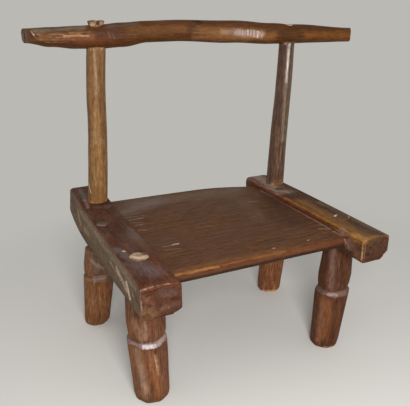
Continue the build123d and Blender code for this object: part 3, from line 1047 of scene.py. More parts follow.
@dataclass(kw_only=True)
class SideRail(Piece):
    """Hewn side rail: bowed outer face, worn edges, holes for its tenons and the seat."""

    datum: Datum
    side: Side
    holes: Sequence[Hole]
    length: float
    thickness: float
    widths: Triple  # front, waist and rear
    batter: float  # of the outer face, at its waist
    edges: tuple[float, ...]  # their roundings, from the inner bottom one round
    hewing: float
    broken_corner_out: float  # where the corner lost from the front end was
    break_width: float = 12.0
    break_height: float = 8.0
    outer_age: float = 0.0

    FRONT_WEAR = 1.8
    TAIL = 16.0
    TAIL_DROP = 0.8
    TAIL_ROUND = 9.0
    BREAK_DEPTH = 22.0
    SIDE_POINTS = (26, 20, 26, 20)
    CORNER_STEPS = 7
    DEPTH_SHARE = 0.6
    FLAT_SHARE = 0.25  # of the adze's marks, where the face isn't the outer one
    ADZE = Unevenness(1.0, (16, 42, 13), level=0.4)
    WAVES = Unevenness(0.5, (46, 110, 30), 500, 0.3)
    GRIT = Unevenness(0.3, 3.2, 900, 0.8)
    HACKED = Unevenness(2.8, (11, 11, 8), 1300, 0.4)

    @property
    def bottom(self) -> float:
        """Height of the rail's underside."""
        return RAIL_TOP - self.thickness

    def grain(self) -> Matrix:
        """Place at the rail's front, its grain to the back."""
        front = self.datum.at(self.side, 0, 0, self.bottom)
        return grain_place(front, Vector((0, 1, 0)), Vector((1, 0, 0)))

    def rings(self) -> Array:
        """The rail's sections from front to back, before any cut.

        Returns:
            (sections, points, 3).
        """
        end = self.length - self.TAIL
        front, waist, rear = self.widths
        stops = [0, end / 4, end / 2, end]
        width_curve = np.polyfit(stops, [front, (front + waist) / 2, waist, rear], 3)
        batter_curve = np.polyfit(stops, [0, self.batter / 2, self.batter, self.batter / 2], 3)
        back = spaced([0, 6, end, self.length], [1.0, 2.4, 1.5])
        held = np.minimum(back, end)
        width, batter = np.polyval(width_curve, held), np.polyval(batter_curve, held)
        tail = np.clip((back - end) / self.TAIL, 0, 1)
        loss = rounding(back, self.FRONT_WEAR) + self.TAIL_DROP * tail**1.6
        bottom, top = self.bottom + loss, RAIL_TOP - loss
        outer = width - loss - self.TAIL_ROUND * (1 - np.sqrt(1 - tail**2.4))
        corners = outlines([(loss, bottom), (outer, bottom), (outer - batter, top), (loss, top)])
        radii = np.broadcast_to(np.array(self.edges), corners.shape[:2])
        outline = rounded_sections(corners, radii, self.SIDE_POINTS, self.CORNER_STEPS)
        x = self.datum.middle + self.side * (RAIL_GAP / 2 + outline[..., 0])
        y = np.broadcast_to((self.datum.front + back)[:, None], x.shape)
        return np.stack([x, y, outline[..., 1]], axis=2)

    def corner_break(self) -> Chip:
        """The corner lost from the rail's front end.

        Returns:
            A chip through the three points where the break meets the corner's edges.
        """
        inwards = self.side if self.broken_corner_out == 0 else -self.side
        corner = self.datum.at(self.side, self.broken_corner_out, 0, self.bottom)
        across = corner + Vector((inwards * self.break_width, 0, 0))
        above = corner + Vector((0, 0, self.break_height))
        behind = corner + Vector((0, self.BREAK_DEPTH, 0))
        outwards = (above - across).cross(behind - across)
        if outwards.x * inwards > 0:
            outwards.negate()
        middle = (across + above + behind) / 3
        return Chip(tuple(middle), tuple(outwards), reach=40.0, roughness=3.0, wavelength=5.0)

    def carve(self) -> Carving:
        """The hewn rail with its holes and the seat's slot.

        Returns:
            The rail's surface.
        """
        noise = SolidNoise(self.seed)
        carving, points, normals = self.begun(self.rings(), 9)
        outer = eased(normals[:, 0] * self.side)
        ends = eased(np.abs(normals[:, 1]) * 1.5 - 0.5)
        adze = (self.FLAT_SHARE + (1 - self.FLAT_SHARE) * outer) * self.ADZE.at(noise, points)
        sawn = self.GRIT.at(noise, points) + np.clip(self.HACKED.at(noise, points), 0, None)
        depth = self.hewing * (adze + self.WAVES.at(noise, points)) + ends * sawn + self.dented(points)
        carving.lower(depth * self.DEPTH_SHARE)
        carving.move(self.corner_break().cut(carving.points(), noise))
        cutters = [Carving.rod(low, high, radius + GAP) for low, high, radius in self.holes]
        carving.bore([*cutters, SeatBoard.slot(self.datum)])
        return carving

    def aged(self, points: Array, normals: Array) -> Array:
        """The greyed outer face."""
        return self.outer_age * eased(normals[:, 0] * self.side * 1.6 - 0.3)


@dataclass(kw_only=True)
class SeatBoard(Piece):
    """Seat board with its grain from rail to rail, worn front edge and sloping back edge."""

    datum: Datum

    THICKNESS = 14.5
    TOP = RAIL_TOP - 10.0
    SETBACK = 37.0
    LEFT_BACK = 367.0
    MIDDLE_BACK = 360.5
    RIGHT_BACK = 323.0
    SHOULDER = 110.0
    BULGE = 7.5
    HOUSING = 7.0
    FRONT_RADIUS = 9.0
    EDGE_RADIUS = 2.5
    BACK_RADIUS = 1.6
    SLOT_RADIUS = 0.2
    PLANED = Unevenness(0.22, (120, 26, 40), level=0.5)
    WAVES = Unevenness(0.3, (150, 70, 60), 300, 0.5)
    NIBBLED = Unevenness(0.45, (22, 9, 9), 700, 1.0)

    def grain(self) -> Matrix:
        """Place at the seat's middle, its grain to the right."""
        middle = Vector((self.datum.middle, self.datum.front, self.TOP))
        return grain_place(middle, Vector((1, 0, 0)), Vector((0, 1, 0)))

    @classmethod
    def back_edge(cls, across: Array) -> Array:
        """How far the back edge lies behind the rails' fronts.

        Args:
            across: places to the right of the middle.

        Returns:
            The distance at each place.
        """
        half = RAIL_GAP / 2 + cls.HOUSING
        turn = RAIL_GAP / 2 - cls.SHOULDER
        straight = cls.LEFT_BACK + (cls.MIDDLE_BACK - cls.LEFT_BACK) * (across + half) / (turn + half)
        share = np.clip((across - turn) / (half - turn), 0, 1)
        curve = cls.MIDDLE_BACK + (cls.RIGHT_BACK - cls.MIDDLE_BACK) * share
        return np.where(across < turn, straight, curve + cls.BULGE * 4 * share * (1 - share))

    @classmethod
    def sections(
        cls, datum: Datum, grow: float, radii: Sequence[float], sides: Sequence[int], turns: int, step: float
    ) -> Array:
        """Rings of the board from left to right.

        Args:
            datum: where the chair stands.
            grow: how much larger than the board they are on every side.
            radii: the rounding of each edge, from the front bottom one round.
            sides: points between two roundings.
            turns: steps round each rounding.
            step: distance between two rings.

        Returns:
            (rings, points, 3).
        """
        half = RAIL_GAP / 2 + cls.HOUSING + grow
        across = spaced([-half, half], [step])
        back = cls.back_edge(np.clip(across, -half + grow, half - grow)) + grow
        front = np.full_like(across, cls.SETBACK - grow)
        bottom = np.full_like(across, cls.TOP - cls.THICKNESS - grow)
        top = np.full_like(across, cls.TOP + grow)
        corners = outlines([(front, bottom), (back, bottom), (back, top), (front, top)])
        outline = rounded_sections(corners, np.broadcast_to(np.array(radii), corners.shape[:2]), sides, turns)
        x = np.broadcast_to((datum.middle + across)[:, None], outline.shape[:2])
        return np.stack([x, datum.front + outline[..., 0], outline[..., 1]], axis=2)

    @classmethod
    def slot(cls, datum: Datum) -> Carving:
        """The board a little larger, to cut its housings in the rails."""
        rings = cls.sections(datum, GAP, (cls.SLOT_RADIUS,) * 4, (4, 2, 4, 2), 1, 20.0)
        return Carving("slot", with_ends(rings, 2))

    def carve(self) -> Carving:
        """The board with its hand-planed top and rounded, rubbed front.

        Returns:
            The board's surface.
        """
        noise = SolidNoise(self.seed)
        radii = (self.EDGE_RADIUS, self.BACK_RADIUS, self.BACK_RADIUS, self.FRONT_RADIUS)
        rings = self.sections(self.datum, 0.0, radii, (70, 4, 110, 4), 5, 3.2)
        carving, points, normals = self.begun(rings, 4)
        planed = self.PLANED.at(noise, points) + self.WAVES.at(noise, points)
        nibbled = eased(np.abs(normals[:, 1])) * self.NIBBLED.at(noise, points)
        carving.lower(planed + nibbled + self.dented(points))
        return carving


@dataclass(kw_only=True)
class Leg(Piece):
    """Whittled eight-sided leg with a V-cut collar and a tenon right through its rail."""

    datum: Datum
    side: Side
    rail_bottom: float
    girth: float
    collar_height: float
    tenon_radius: float
    tenon_out: float  # the tenon's place in its rail
    tenon_back: float
    foot_out: float  # the foot's place from there
    foot_back: float
    turn: float
    rim: float  # how far the foot's edge is trimmed
    rim_bare: float
    ledge: float = 9.0
    drops: tuple[float, ...] = (0.0,) * 8  # of each flat's collar edge
    neck_swell: tuple[float, ...] = (0.0,) * 8
    barrel_swell: tuple[float, ...] = (0.0,) * 8
    collar_swell: tuple[float, ...] = (0.0,) * 8

    WEAR_SPREAD = 2
    SIDES = 8
    AROUND = 104
    CORNER_POWER = 22.0  # higher is a sharper arris between two flats
    FOOT_TAPER = 5.5
    RIM_HEIGHT = 9.0
    NOTCH = 4.0
    UNDERCUT = 7.0
    BARREL_LOSS = 3.0
    BARREL_RISE = 21.0
    NECK_LOSS = 7.5
    SHOULDER_GAP = 0.2
    COLLAR_BREAK = (0.8, 0.6)  # height and depth of its worn edge
    TENON_BREAK = 0.5
    FLAT_SHIFT = 37.0  # keeps the flats' unevenness apart
    FLATS = Unevenness(0.3, (11, 11, 30))
    WHITTLED = Unevenness(0.16, (7, 7, 26), 200)
    SPLINTERED = Unevenness(0.05, 2.6, 600)
    HACKED = Unevenness(0.35, 5.0, 400, 1.0)

    @property
    def notch(self) -> float:
        """Height of the collar's V cut."""
        return self.collar_height + self.ledge

    @property
    def shoulder(self) -> float:
        """Height where the neck ends and the tenon begins."""
        return self.rail_bottom - self.SHOULDER_GAP

    def axis_at(self, height: float) -> Vector:
        """Centre of the leg at a height."""
        drop = 1 - height / RAIL_TOP
        return self.datum.at(
            self.side, self.tenon_out + self.foot_out * drop, self.tenon_back + self.foot_back * drop, height
        )

    def hole(self) -> Hole:
        """The hole that the tenon needs through its rail."""
        return self.axis_at(self.rail_bottom - 3), self.axis_at(RAIL_TOP + 3), self.tenon_radius

    def grain(self) -> Matrix:
        """Place at the foot, its grain up the leg."""
        foot = self.axis_at(0)
        return grain_place(foot, self.axis_at(RAIL_TOP) - foot, Vector((1, 0, 0)))

    def flats_at(self, heights: Array, noise: SolidNoise) -> Array:
        """How far each flat lies from the leg's axis.

        Args:
            heights: the heights asked for.
            noise: what the flats' unevenness is taken from.

        Returns:
            (heights, flats).
        """
        foot, collar = (self.girth - self.FOOT_TAPER) / 2, self.girth / 2
        barrel = (self.girth - self.BARREL_LOSS) / 2
        edge_height, edge_depth = self.COLLAR_BREAK
        flats = []
        swells = zip(self.drops, self.collar_swell, self.barrel_swell, self.neck_swell)
        for index, (drop, at_collar, at_barrel, at_neck) in enumerate(swells):
            top = self.collar_height - drop
            stops = [
                (0, foot - self.rim),
                (self.RIM_HEIGHT / 3, foot - self.rim / 2),
                (self.RIM_HEIGHT, foot),
                (top - edge_height, collar + at_collar),
                (top, collar + at_collar - edge_depth),
                (self.notch, collar - self.NOTCH + (at_collar + at_barrel) / 2),
                (self.notch + self.UNDERCUT, barrel - self.NOTCH / 4 + at_barrel),
                (self.notch + self.BARREL_RISE, barrel + at_barrel),
                (self.shoulder, barrel - self.NECK_LOSS / 2 + at_neck),
            ]
            spots = np.outer(heights, (0, 0, 1)) + (index * self.FLAT_SHIFT, 0, 0)
            flats.append(np.interp(heights, *zip(*stops)) - self.FLATS.at(noise, spots))
        return np.stack(flats, axis=1)

    def rings(self, noise: SolidNoise) -> Array:
        """The leg's level sections from the foot up, and then the tenon's.

        Args:
            noise: what the flats' unevenness is taken from.

        Returns:
            (sections, points, 3).
        """
        stops = [0, 12, self.collar_height - 9, self.notch + 8, self.shoulder]
        heights = spaced(stops, [1.2, 2.4, 0.9, 2.2])
        turns = np.linspace(0, 2 * pi, self.AROUND, endpoint=False)
        faces = radians(self.turn) + (np.arange(self.SIDES) + 0.5) * 2 * pi / self.SIDES
        facing = np.maximum(np.cos(turns[:, None] - faces), 0.05)
        reach = self.flats_at(heights, noise)[:, None, :] / facing[None, :, :]
        body = (reach**-self.CORNER_POWER).sum(axis=2) ** (-1 / self.CORNER_POWER)
        tenon_heights = spaced([self.shoulder, RAIL_TOP - 2, RAIL_TOP + TENON_PROUD], [8.0, 0.9])
        tenon = np.full((len(tenon_heights), self.AROUND), self.tenon_radius)
        tenon[-1] -= self.TENON_BREAK
        centres = np.array([self.axis_at(height) for height in (*heights, *tenon_heights)])
        return round_sections(centres, np.concatenate([body, tenon]), turns)

    def carve(self) -> Carving:
        """The whittled leg, its tenon's end hacked off.

        Returns:
            The leg's surface.
        """
        noise = SolidNoise(self.seed)
        carving, points, normals = self.begun(self.rings(noise), 8)
        height = points[:, 2]
        between = eased((RAIL_TOP - height) / 2) * eased((height - 1.5) / 3)
        whittled = self.WHITTLED.at(noise, points) + self.SPLINTERED.at(noise, points)
        hacked = self.HACKED.at(noise, points) * eased(normals[:, 2])
        carving.lower(np.where(height > RAIL_TOP - 1, hacked, whittled * between))
        return carving

    def bare(self, points: Array, normals: Array) -> Array:
        """The ledge that the V cut left round the collar, and the foot's trimmed rim.

        Args:
            points: the surface's vertices.
            normals: their outward directions.

        Returns:
            How far each vertex shows freshly cut wood.
        """
        height = points[:, 2]
        near = eased((height - self.collar_height + 6) / 3) * eased((self.notch + 2 - height) / 2)
        ledge = near * eased((normals[:, 2] - 0.12) / 0.12)
        rim = self.rim_bare * eased((6 - height) / 3) * eased(-normals[:, 2] * 2)
        return np.maximum(ledge, rim)


@dataclass(kw_only=True)
class Post(Piece):
    """Branch post: peeled, not quite straight, with a tenon at each end."""

    datum: Datum
    side: Side
    out: float  # the foot's place on its rail
    back: float
    lean_out: float  # how far the head stands from above the foot
    lean_back: float
    sway: float
    foot_radius: float
    head_radius: float
    tenon_radius: float
    proud: float  # how far the head tenon stands above the crest rail
    crest_height: float  # the crest rail's height over this post
    cleft: float = 0.0  # how far from the axis the head is split
    spread_out: float = 0.0  # how far the hammered head has spread

    AROUND = 88
    LETTING = 3.0
    FOOT_TENON_RADIUS = 11.0
    FOOT_TENON_LENGTH = 30.0
    FIT = 0.2
    HEAD_BREAK = 1.5
    SPLIT_WIDTH = 1.6
    SPLIT_DEPTH = 4.0
    PEELED = Unevenness(0.5, (13, 13, 70))
    GROOVED = Unevenness(0.12, (5, 5, 34), 350)
    HACKED = Unevenness(0.9, 6.5, 800, 1.0)
    SPLIT_WANDER = Unevenness(1.5, 7.0)

    @property
    def top(self) -> float:
        """Height of the head."""
        return CREST_BOTTOM + self.crest_height + self.proud

    def axis_at(self, height: float) -> Vector:
        """Centre of the straight line that the post follows, at a height."""
        rise = (height - RAIL_TOP) / (CREST_BOTTOM - RAIL_TOP)
        return self.datum.at(
            self.side, self.out + self.lean_out * rise, self.back + self.lean_back * rise, height
        )

    def foot_hole(self) -> Hole:
        """The blind hole that the post's foot needs in its rail."""
        low = self.axis_at(RAIL_TOP - self.FOOT_TENON_LENGTH - GAP)
        return low, self.axis_at(RAIL_TOP + 3), self.FOOT_TENON_RADIUS

    def crest_holes(self) -> tuple[Hole, Hole]:
        """The hole that the head tenon needs in the crest rail, and the wider one below it."""
        low, step, high = (self.axis_at(CREST_BOTTOM + rise) for rise in (-20, self.LETTING, 70))
        return (low, high, self.tenon_radius), (low, step, self.head_radius)

    def grain(self) -> Matrix:
        """Place at the post's foot, its grain up the post."""
        foot = self.axis_at(RAIL_TOP)
        return grain_place(foot, self.axis_at(CREST_BOTTOM) - foot, Vector((1, 0, 0)))

    def rings(self) -> Array:
        """The post's level sections from the foot tenon to the head tenon.

        Returns:
            (sections, points, 3).
        """
        low, high = RAIL_TOP + self.FIT, CREST_BOTTOM + self.LETTING - self.FIT
        heights = spaced([low, high], [2.4])
        share = (heights - low) / (high - low)
        shaft = self.foot_radius + (self.head_radius - self.foot_radius) * share
        foot = np.array([low - self.FOOT_TENON_LENGTH + self.FIT, low])
        head = spaced([high, self.top - 9, self.top - 1.5, self.top], [8.0, 1.1, 0.5])
        free = np.clip((head - self.top + self.proud - 1) / self.proud, 0, 1)
        broken = self.HEAD_BREAK * eased((head - self.top + self.HEAD_BREAK) / self.HEAD_BREAK)
        tenon = self.tenon_radius + self.spread_out * np.sin(pi * free**1.4) - broken
        radii = np.concatenate([np.full(2, self.FOOT_TENON_RADIUS), shaft, tenon])
        sways = np.concatenate([np.zeros(2), self.sway * np.sin(2 * pi * share), np.zeros(len(head))])
        centres = np.array([self.axis_at(height) for height in (*foot, *heights, *head)])
        centres[:, 0] += sways
        return round_sections(centres, radii[:, None], np.linspace(0, 2 * pi, self.AROUND, endpoint=False))

    def carve(self) -> Carving:
        """The peeled branch, flattened here and there, its head hacked and split.

        Returns:
            The post's surface.
        """
        noise = SolidNoise(self.seed)
        carving, points, normals = self.begun(self.rings(), 8)
        sides = 1 - eased(np.abs(normals[:, 2]) * 2)
        peeled = self.PEELED.at(noise, points) + self.GROOVED.at(noise, points)
        hacked = self.HACKED.at(noise, points) * eased(normals[:, 2]) * (points[:, 2] > self.top - 4)
        carving.lower(peeled * sides + self.dented(points))
        points = carving.points()
        points[:, 2] -= hacked
        if self.cleft:
            wander = self.SPLIT_WANDER.at(noise, points)
            from_split = points[:, 0] - self.axis_at(self.top).x - self.cleft + wander
            split = np.exp(-((from_split / self.SPLIT_WIDTH) ** 2))
            points[:, 2] -= self.SPLIT_DEPTH * split * eased((points[:, 2] - self.top + 6) / 4)
        carving.move(points)
        return carving


@dataclass(kw_only=True)
class CrestRail(Piece):
    """Bent branch across the posts: the grip, with a slanting left end."""

    left: Post
    right: Post
    chip: Chip

    OVERHANGS = (116.0, 121.0)
    FINE_RUN = (235.0, 300.0)  # ways from the left post between which the scrapes lie
    SCRAPED = (62.0, 114.0)
    SCRAPE_STEP = 5.4
    SCRAPE_DEPTH = 0.6
    END_CUT = radians(33)
    END_FADE = 45.0
    END_WEAR = 1.6
    SMOOTH = Unevenness(0.4, (60, 18, 18))
    RIPPLED = Unevenness(0.12, (26, 7, 7), 250)
    GRIT = Unevenness(0.4, 2.8, 900)

    def line(self) -> tuple[Vector, Vector, float]:
        """Start of the run over the left post, its level direction and its span."""
        start, end = (post.axis_at(CREST_BOTTOM) for post in (self.left, self.right))
        return start, (end - start).normalized(), (end - start).length

    def stops(self) -> Array:
        """The sections that give the branch its bends, from left to right.

        Returns:
            (sections, 5): way from the left post, centre's height, height, depth and rounding.
        """
        level, span = CREST_BOTTOM + self.left.crest_height / 2, self.line()[2]
        right = self.right.crest_height
        return np.array([
            (-self.OVERHANGS[0], level + 4.2, 22.5, 22, 5),
            (-72, level + 1.5, 30.3, 30, 13.5),
            (-30, level + 0.1, 35.7, 36, 16),
            (0, level, self.left.crest_height, 38, 17),
            (45, level + 2.2, 38.4, 36.5, 17),
            (85, level + 6.3, 34.5, 34, 16),
            (130, level + 6.9, 34.5, 34, 16),
            (235, level + 2.9, 37, 33.5, 16),
            (305, level - 1.6, 35.5, 33, 16),
            (span + 12, CREST_BOTTOM + right / 2, right + 1.5, 31, 14),
            (span + self.OVERHANGS[1], level - 7, 24, 22, 5),
        ])

    def grain(self) -> Matrix:
        """Place over the left post, its grain along the branch."""
        start, along, _ = self.line()
        return grain_place(start + UP * (self.left.crest_height / 2), along, UP)

    def rings(self) -> Array:
        """The branch's sections, each square to its run but for the slanting left end.

        Returns:
            (sections, points, 3).
        """
        start, along, _ = self.line()
        known = self.stops()
        first, last = known[0, 0], known[-1, 0]
        ways = spaced([first, first + 8, *self.FINE_RUN, last - 8, last], [1.4, 2.6, 1.1, 2.6, 1.4])
        after = np.clip(np.searchsorted(known[:, 0], ways, side="right"), 1, len(known) - 1)
        low, high = known[after - 1], known[after]
        share = (1 - np.cos(pi * (ways - low[:, 0]) / (high[:, 0] - low[:, 0]))) / 2
        centre, height, depth, radius = (low[:, 1:] + (high - low)[:, 1:] * share[:, None]).T
        signs = ((-1, -1), (1, -1), (1, 1), (-1, 1))
        corners = outlines([(u * depth / 2, v * height / 2) for u, v in signs])
        worn = rounding(np.minimum(ways - first, last - ways), self.END_WEAR)
        corners -= np.sign(corners) * worn[:, None, None]
        radii = np.repeat(np.minimum(radius, np.minimum(height, depth) / 2 - 0.4)[:, None], 4, axis=1)
        outline = rounded_sections(corners, radii, (8, 8, 8, 8), 16)
        across = along.cross(UP)
        slant = across.dot(Matrix.Rotation(self.END_CUT, 3, "Z") @ along)
        reach = known[0, 3] / 2 * sin(self.END_CUT)
        cut = first + (reach - outline[..., 0] * slant) / cos(self.END_CUT)
        fade = np.clip(1 - (ways - first) / self.END_FADE, 0, 1)[:, None]
        way = ways[:, None] + (cut - first) * fade
        base = np.array((start.x, start.y, 0.0))
        flat = base + way[..., None] * np.array(along) + outline[..., :1] * np.array(across)
        flat[..., 2] = centre[:, None] + outline[..., 1]
        return flat

    def scrapes(self, points: Array, normals: Array) -> Array:
        """The small steps that a blade left as it chattered across the front.

        Args:
            points: the surface's vertices.
            normals: their outward directions.

        Returns:
            How deep they are at each vertex.
        """
        first, last = self.SCRAPED
        inside = eased((points[:, 0] - first) / 8) * eased((last - points[:, 0]) / 8)
        step = ((points[:, 0] - first) / self.SCRAPE_STEP) % 1.0
        return self.SCRAPE_DEPTH * (1 - step) * inside * eased(-normals[:, 1] * 2 - 0.9)

    def aged(self, points: Array, normals: Array) -> Array:
        """The greyed end grain."""
        return 0.9 * eased(np.abs(normals @ np.array(self.line()[1])) * 2.4 - 1.2)

    def carve(self) -> Carving:
        """The worn branch with its knots, chip and post holes.

        Returns:
            The crest rail's surface.
        """
        noise = SolidNoise(self.seed)
        carving, points, normals = self.begun(self.rings(), 7)
        ends = eased(np.abs(normals @ np.array(self.line()[1])) * 2 - 1)
        smooth = self.SMOOTH.at(noise, points) + self.RIPPLED.at(noise, points)
        depth = smooth * (1 - ends) + self.GRIT.at(noise, points) * ends
        carving.lower(depth + self.dented(points) + self.scrapes(points, normals))
        carving.move(self.chip.cut(carving.points(), noise))
        for holes in zip(self.left.crest_holes(), self.right.crest_holes()):
            carving.bore([Carving.rod(low, high, radius + GAP) for low, high, radius in holes])
        return carving


# ---- the chair's woods

class Wood(Enum):
    """The finishes of the chair's pieces, each led by its deep, body, pale, cloud and worn colour."""

    # Its grey cloud colour is partly a painted sheen, in the patches that the cloud also makes glossier.
    LEFT_RAIL = WoodFinish(
        0x462414, 0x522C1A, 0x5D3521, 0x5A3C2E, 0x73492E, aged=0x6E5A46, pith=(-40, -60, 0), length=40,
        warp=5, contrast=0.1, pores=0.4, cloud_size=40, wear_share=0.3,
    )
    RIGHT_RAIL = WoodFinish(
        0x361B0D, 0x482916, 0x5C3920, 0x4E3426, 0x6E4422, pith=(-60, -40, 0), length=40, warp=5, pores=0.4,
        cloud_size=60, mottle=0.28, wear_share=0.35,
    )
    SEAT = WoodFinish(
        0x4A2B1A, 0x623F24, 0x745034, 0x553320, 0x905B32, pith=(-30, -160, 0), pitch=0.9, length=64,
        warp=10, pores=0.45, cloud_size=80, mottle=0.2, wear_share=0.25, knife_depth=0, knife_tone=0,
    )
    FRONT_LEFT_LEG = WoodFinish(
        0x4E2C19, 0x654129, 0x7D5A44, 0x714424, 0x87685B, bare=0x806864, cloud_share=0.65, dirt_share=0.4,
    )
    FRONT_RIGHT_LEG = WoodFinish(
        0x422414, 0x512F1C, 0x613E29, 0x5B3319, 0x775746, bare=0x72574D, cloud_share=0.65, mottle=0.22,
        dirt_share=0.4,
    )
    REAR_LEFT_LEG = WoodFinish(
        0x59341D, 0x764D2F, 0x906849, 0x7F4F2A, 0x8F6C50, bare=0x735845, cloud_share=0.65, dirt_share=0.35,
    )
    REAR_RIGHT_LEG = WoodFinish(
        0x59321D, 0x7B4D31, 0x946649, 0x86502B, 0x9A7056, bare=0xB38B6F, cloud_share=0.65, dirt_share=0.4,
    )
    LEFT_POST = WoodFinish(
        0x6A4929, 0x835E39, 0x97744E, 0x775333, 0x977554, warp=3, rings=0.06, cloud_size=22, mottle=0.24,
        knife_depth=0.12, knife_tone=0.06, roughness=(0.4, 0.6),
    )
    RIGHT_POST = WoodFinish(
        0x3D271E, 0x5D4431, 0x7C6350, 0x5D3A27, 0x7E5E46, warp=3, rings=0.06, pores=0.35, cloud_size=20,
        mottle=0.24, knife_depth=0.12, knife_tone=0.1, roughness=(0.3, 0.5), shine=0.2,
    )
    CREST = WoodFinish(
        0x442309, 0x532F0D, 0x603B16, 0x46250D, 0x654120, aged=0x5C4A3E, length=40, warp=4, rings=0.06,
        cloud_size=28, mottle=0.18, knife_depth=0.05, knife_tone=0.05, relief=0.18, roughness=(0.36, 0.54),
        shine=0.17,
    )


# Marks of use, painted highlights, painted sheens and painted shade, in the shared frame; a soft one fades
# from its middle.
soft = partial(Mark, core=0)
CHALK = 0xCEB89E
STRAW = 0xB2906E
ROSE = 0xA88676
# grey of a worn scar, and a painted sheen where it lies on a top with polish
SCAR_AND_SHEEN = 0x645854
SOOT = 0x2C1C16
SCRATCH = 0xCC9C6A
HAIR = (1.3, 9)  # the pitch of a scratch along the grain
SPECK = (2, 3)

LEFT_RAIL_MARKS = (
    Mark((-226, 130.8, 196.5), (-228.4, 93.7, 185), 5.5, STRAW, 0.55, 2.2, (2.2, 9)),
    Mark((-229.1, 65, 186.3), (-227.9, 30.6, 188.1), 6, STRAW, 0.3, 2.2, (2.2, 9)),
    soft((-229, 110, 204), (-222, -205, 205), 8, 0x92806E, 0.5, 2.6, (2, 6)),
    # painted shade: darker along the bottom of the outer face
    soft((-233, 80, 172), (-224, -190, 172), 11, 0x44342A, 0.6, 2.4, (2.5, 8)),
    soft((-231, 190, 205), (-230, 130, 190), 9, 0x4A3A32, 0.4, 2.4, (2.5, 8)),
    Mark((-224.6, -94, 194), (-224, -118.6, 189), 2.6, STRAW, 0.7, 1.5, (2, 5), rise=-0.5),
    Mark((-223.7, -124, 196), (-222.5, -168, 185), 6, CHALK, 0.5, 2.6, (2, 5), rise=-0.8),
    Mark((-222.4, -168.8, 194.3), (-222.3, -181.7, 179.4), 4.6, CHALK, 0.85, 1.6, (2, 4), rise=-0.8),
    Mark((-221, -190, 200), (-221, -196, 190), 3.6, CHALK, 0.4, 2.2, (2, 4)),
    Mark((-205, 204, 212), (-209.1, 139.7, 212), 6, SCAR_AND_SHEEN, 0.7, 1.6, (3, 12)),
    Mark((-209.1, 139.7, 212), (-213, 93.7, 212), 4.5, ROSE, 0.45, 2.2, (2, 6)),
    # painted sheen: grey-blue patches of reflected light on the top
    soft((-174.4, -35.6, 212), (-173.2, -72.9, 212), 20, SCAR_AND_SHEEN, 0.5, 1.2, (5, 14), polish=0.5),
    soft((-202, -152, 212), (-188, -188, 212), 24, 0x6C5858, 0.6, 1.5, (4, 12), polish=0.5),
    soft((-216, -221, 211.5), (-170, -221, 211.5), 9, 0x703E2A, 0.6, 1.8, (3, 6), polish=0.2),
    soft((-178, -60, 212), (-176, -215, 212), 9, 0x744428, 0.4, 1.8, (2, 16), polish=0.2),
    # painted sheen beside the tenon
    Mark((-213, -98, 212), (-209, -128, 212), 9, SCAR_AND_SHEEN, 0.6, 1.6, (4, 7), polish=0.3),
    Mark((-207.5, -106.5, 212), (-206, -108.5, 212), 2.6, CHALK, 0.7, 1.2, SPECK),
    Mark((-196, 92, 212), (-184, 88, 212), 13, 0x624A42, 0.6, 1.6, (5, 12), polish=0.4),
    Mark((-219.5, -225, 210), (-203.5, -224, 211.4), 1.8, ROSE, 0.7, 2.2, (2, 2)),
    Mark((-199, -224, 211.6), (-181.2, -225, 211.4), 1.5, STRAW, 0.5, 2.8, (2, 2)),
    Mark((-220.4, -224, 204), (-221.4, -224, 172), 1.4, ROSE, 0.25, 2.4, (2, 3)),
    soft((-221, -190, 196), (-221, -222, 190), 9, 0x3E2C22, 0.55, 2.2, (2.5, 6)),
    Mark((-166.6, -200, 211), (-166.6, -70, 211), 4.5, 0x6C4A34, 0.4, 1.6, (3, 14)),
    soft((-194, -226, 201), (-177, -226, 199), 10, 0x60483E, 0.65, 2, (3, 2.4)),
    soft((-191, -226, 180), (-176, -226, 180), 7.5, 0x684E42, 0.5, 2, (3, 2.4)),
    soft((-216, -226, 181), (-202, -226, 175), 11, 0x7A5A3E, 0.6, 2.2, (2.4, 3)),
    soft((-214, -226, 200), (-206, -226, 188), 8, 0x7A5444, 0.5, 2.2, (2.4, 3)),
    soft((-200, -226, 205), (-199, -226, 178), 5, 0x4E2E1E, 0.5, 2.2, (2, 3)),
    soft((-168.5, -225, 206), (-167.5, -225, 182), 5, 0x523026, 0.5, 2, (2, 3)),
    Mark((-221, -226, 196), (-220.5, -226, 184), 2.2, ROSE, 0.5, 2.2, (1.6, 1.6)),
    # painted shadow along the lower edge of the front end
    Mark((-204, -226, 168.5), (-178, -226, 170), 3, 0x2C1812, 0.7, 1.6, (3, 3), core=0.1),
)
LEFT_RAIL_DENTS = (
    Dent((-226.5, -92, 196), (-226, -120, 186), 4, 1.4),
    Dent((-226, -124, 196), (-225, -168, 184), 6.5, 2.2),
    Dent((-225, -170, 196), (-225, -184, 178), 6, 2),
    Dent((-230, 132, 198), (-231, 92, 182), 7, 1.2),
    Dent((-202, -230, 204), (-196, -230, 188), 3, 1.6),
    Dent((-186, -230, 200), (-176, -230, 186), 5, 1.2),
)

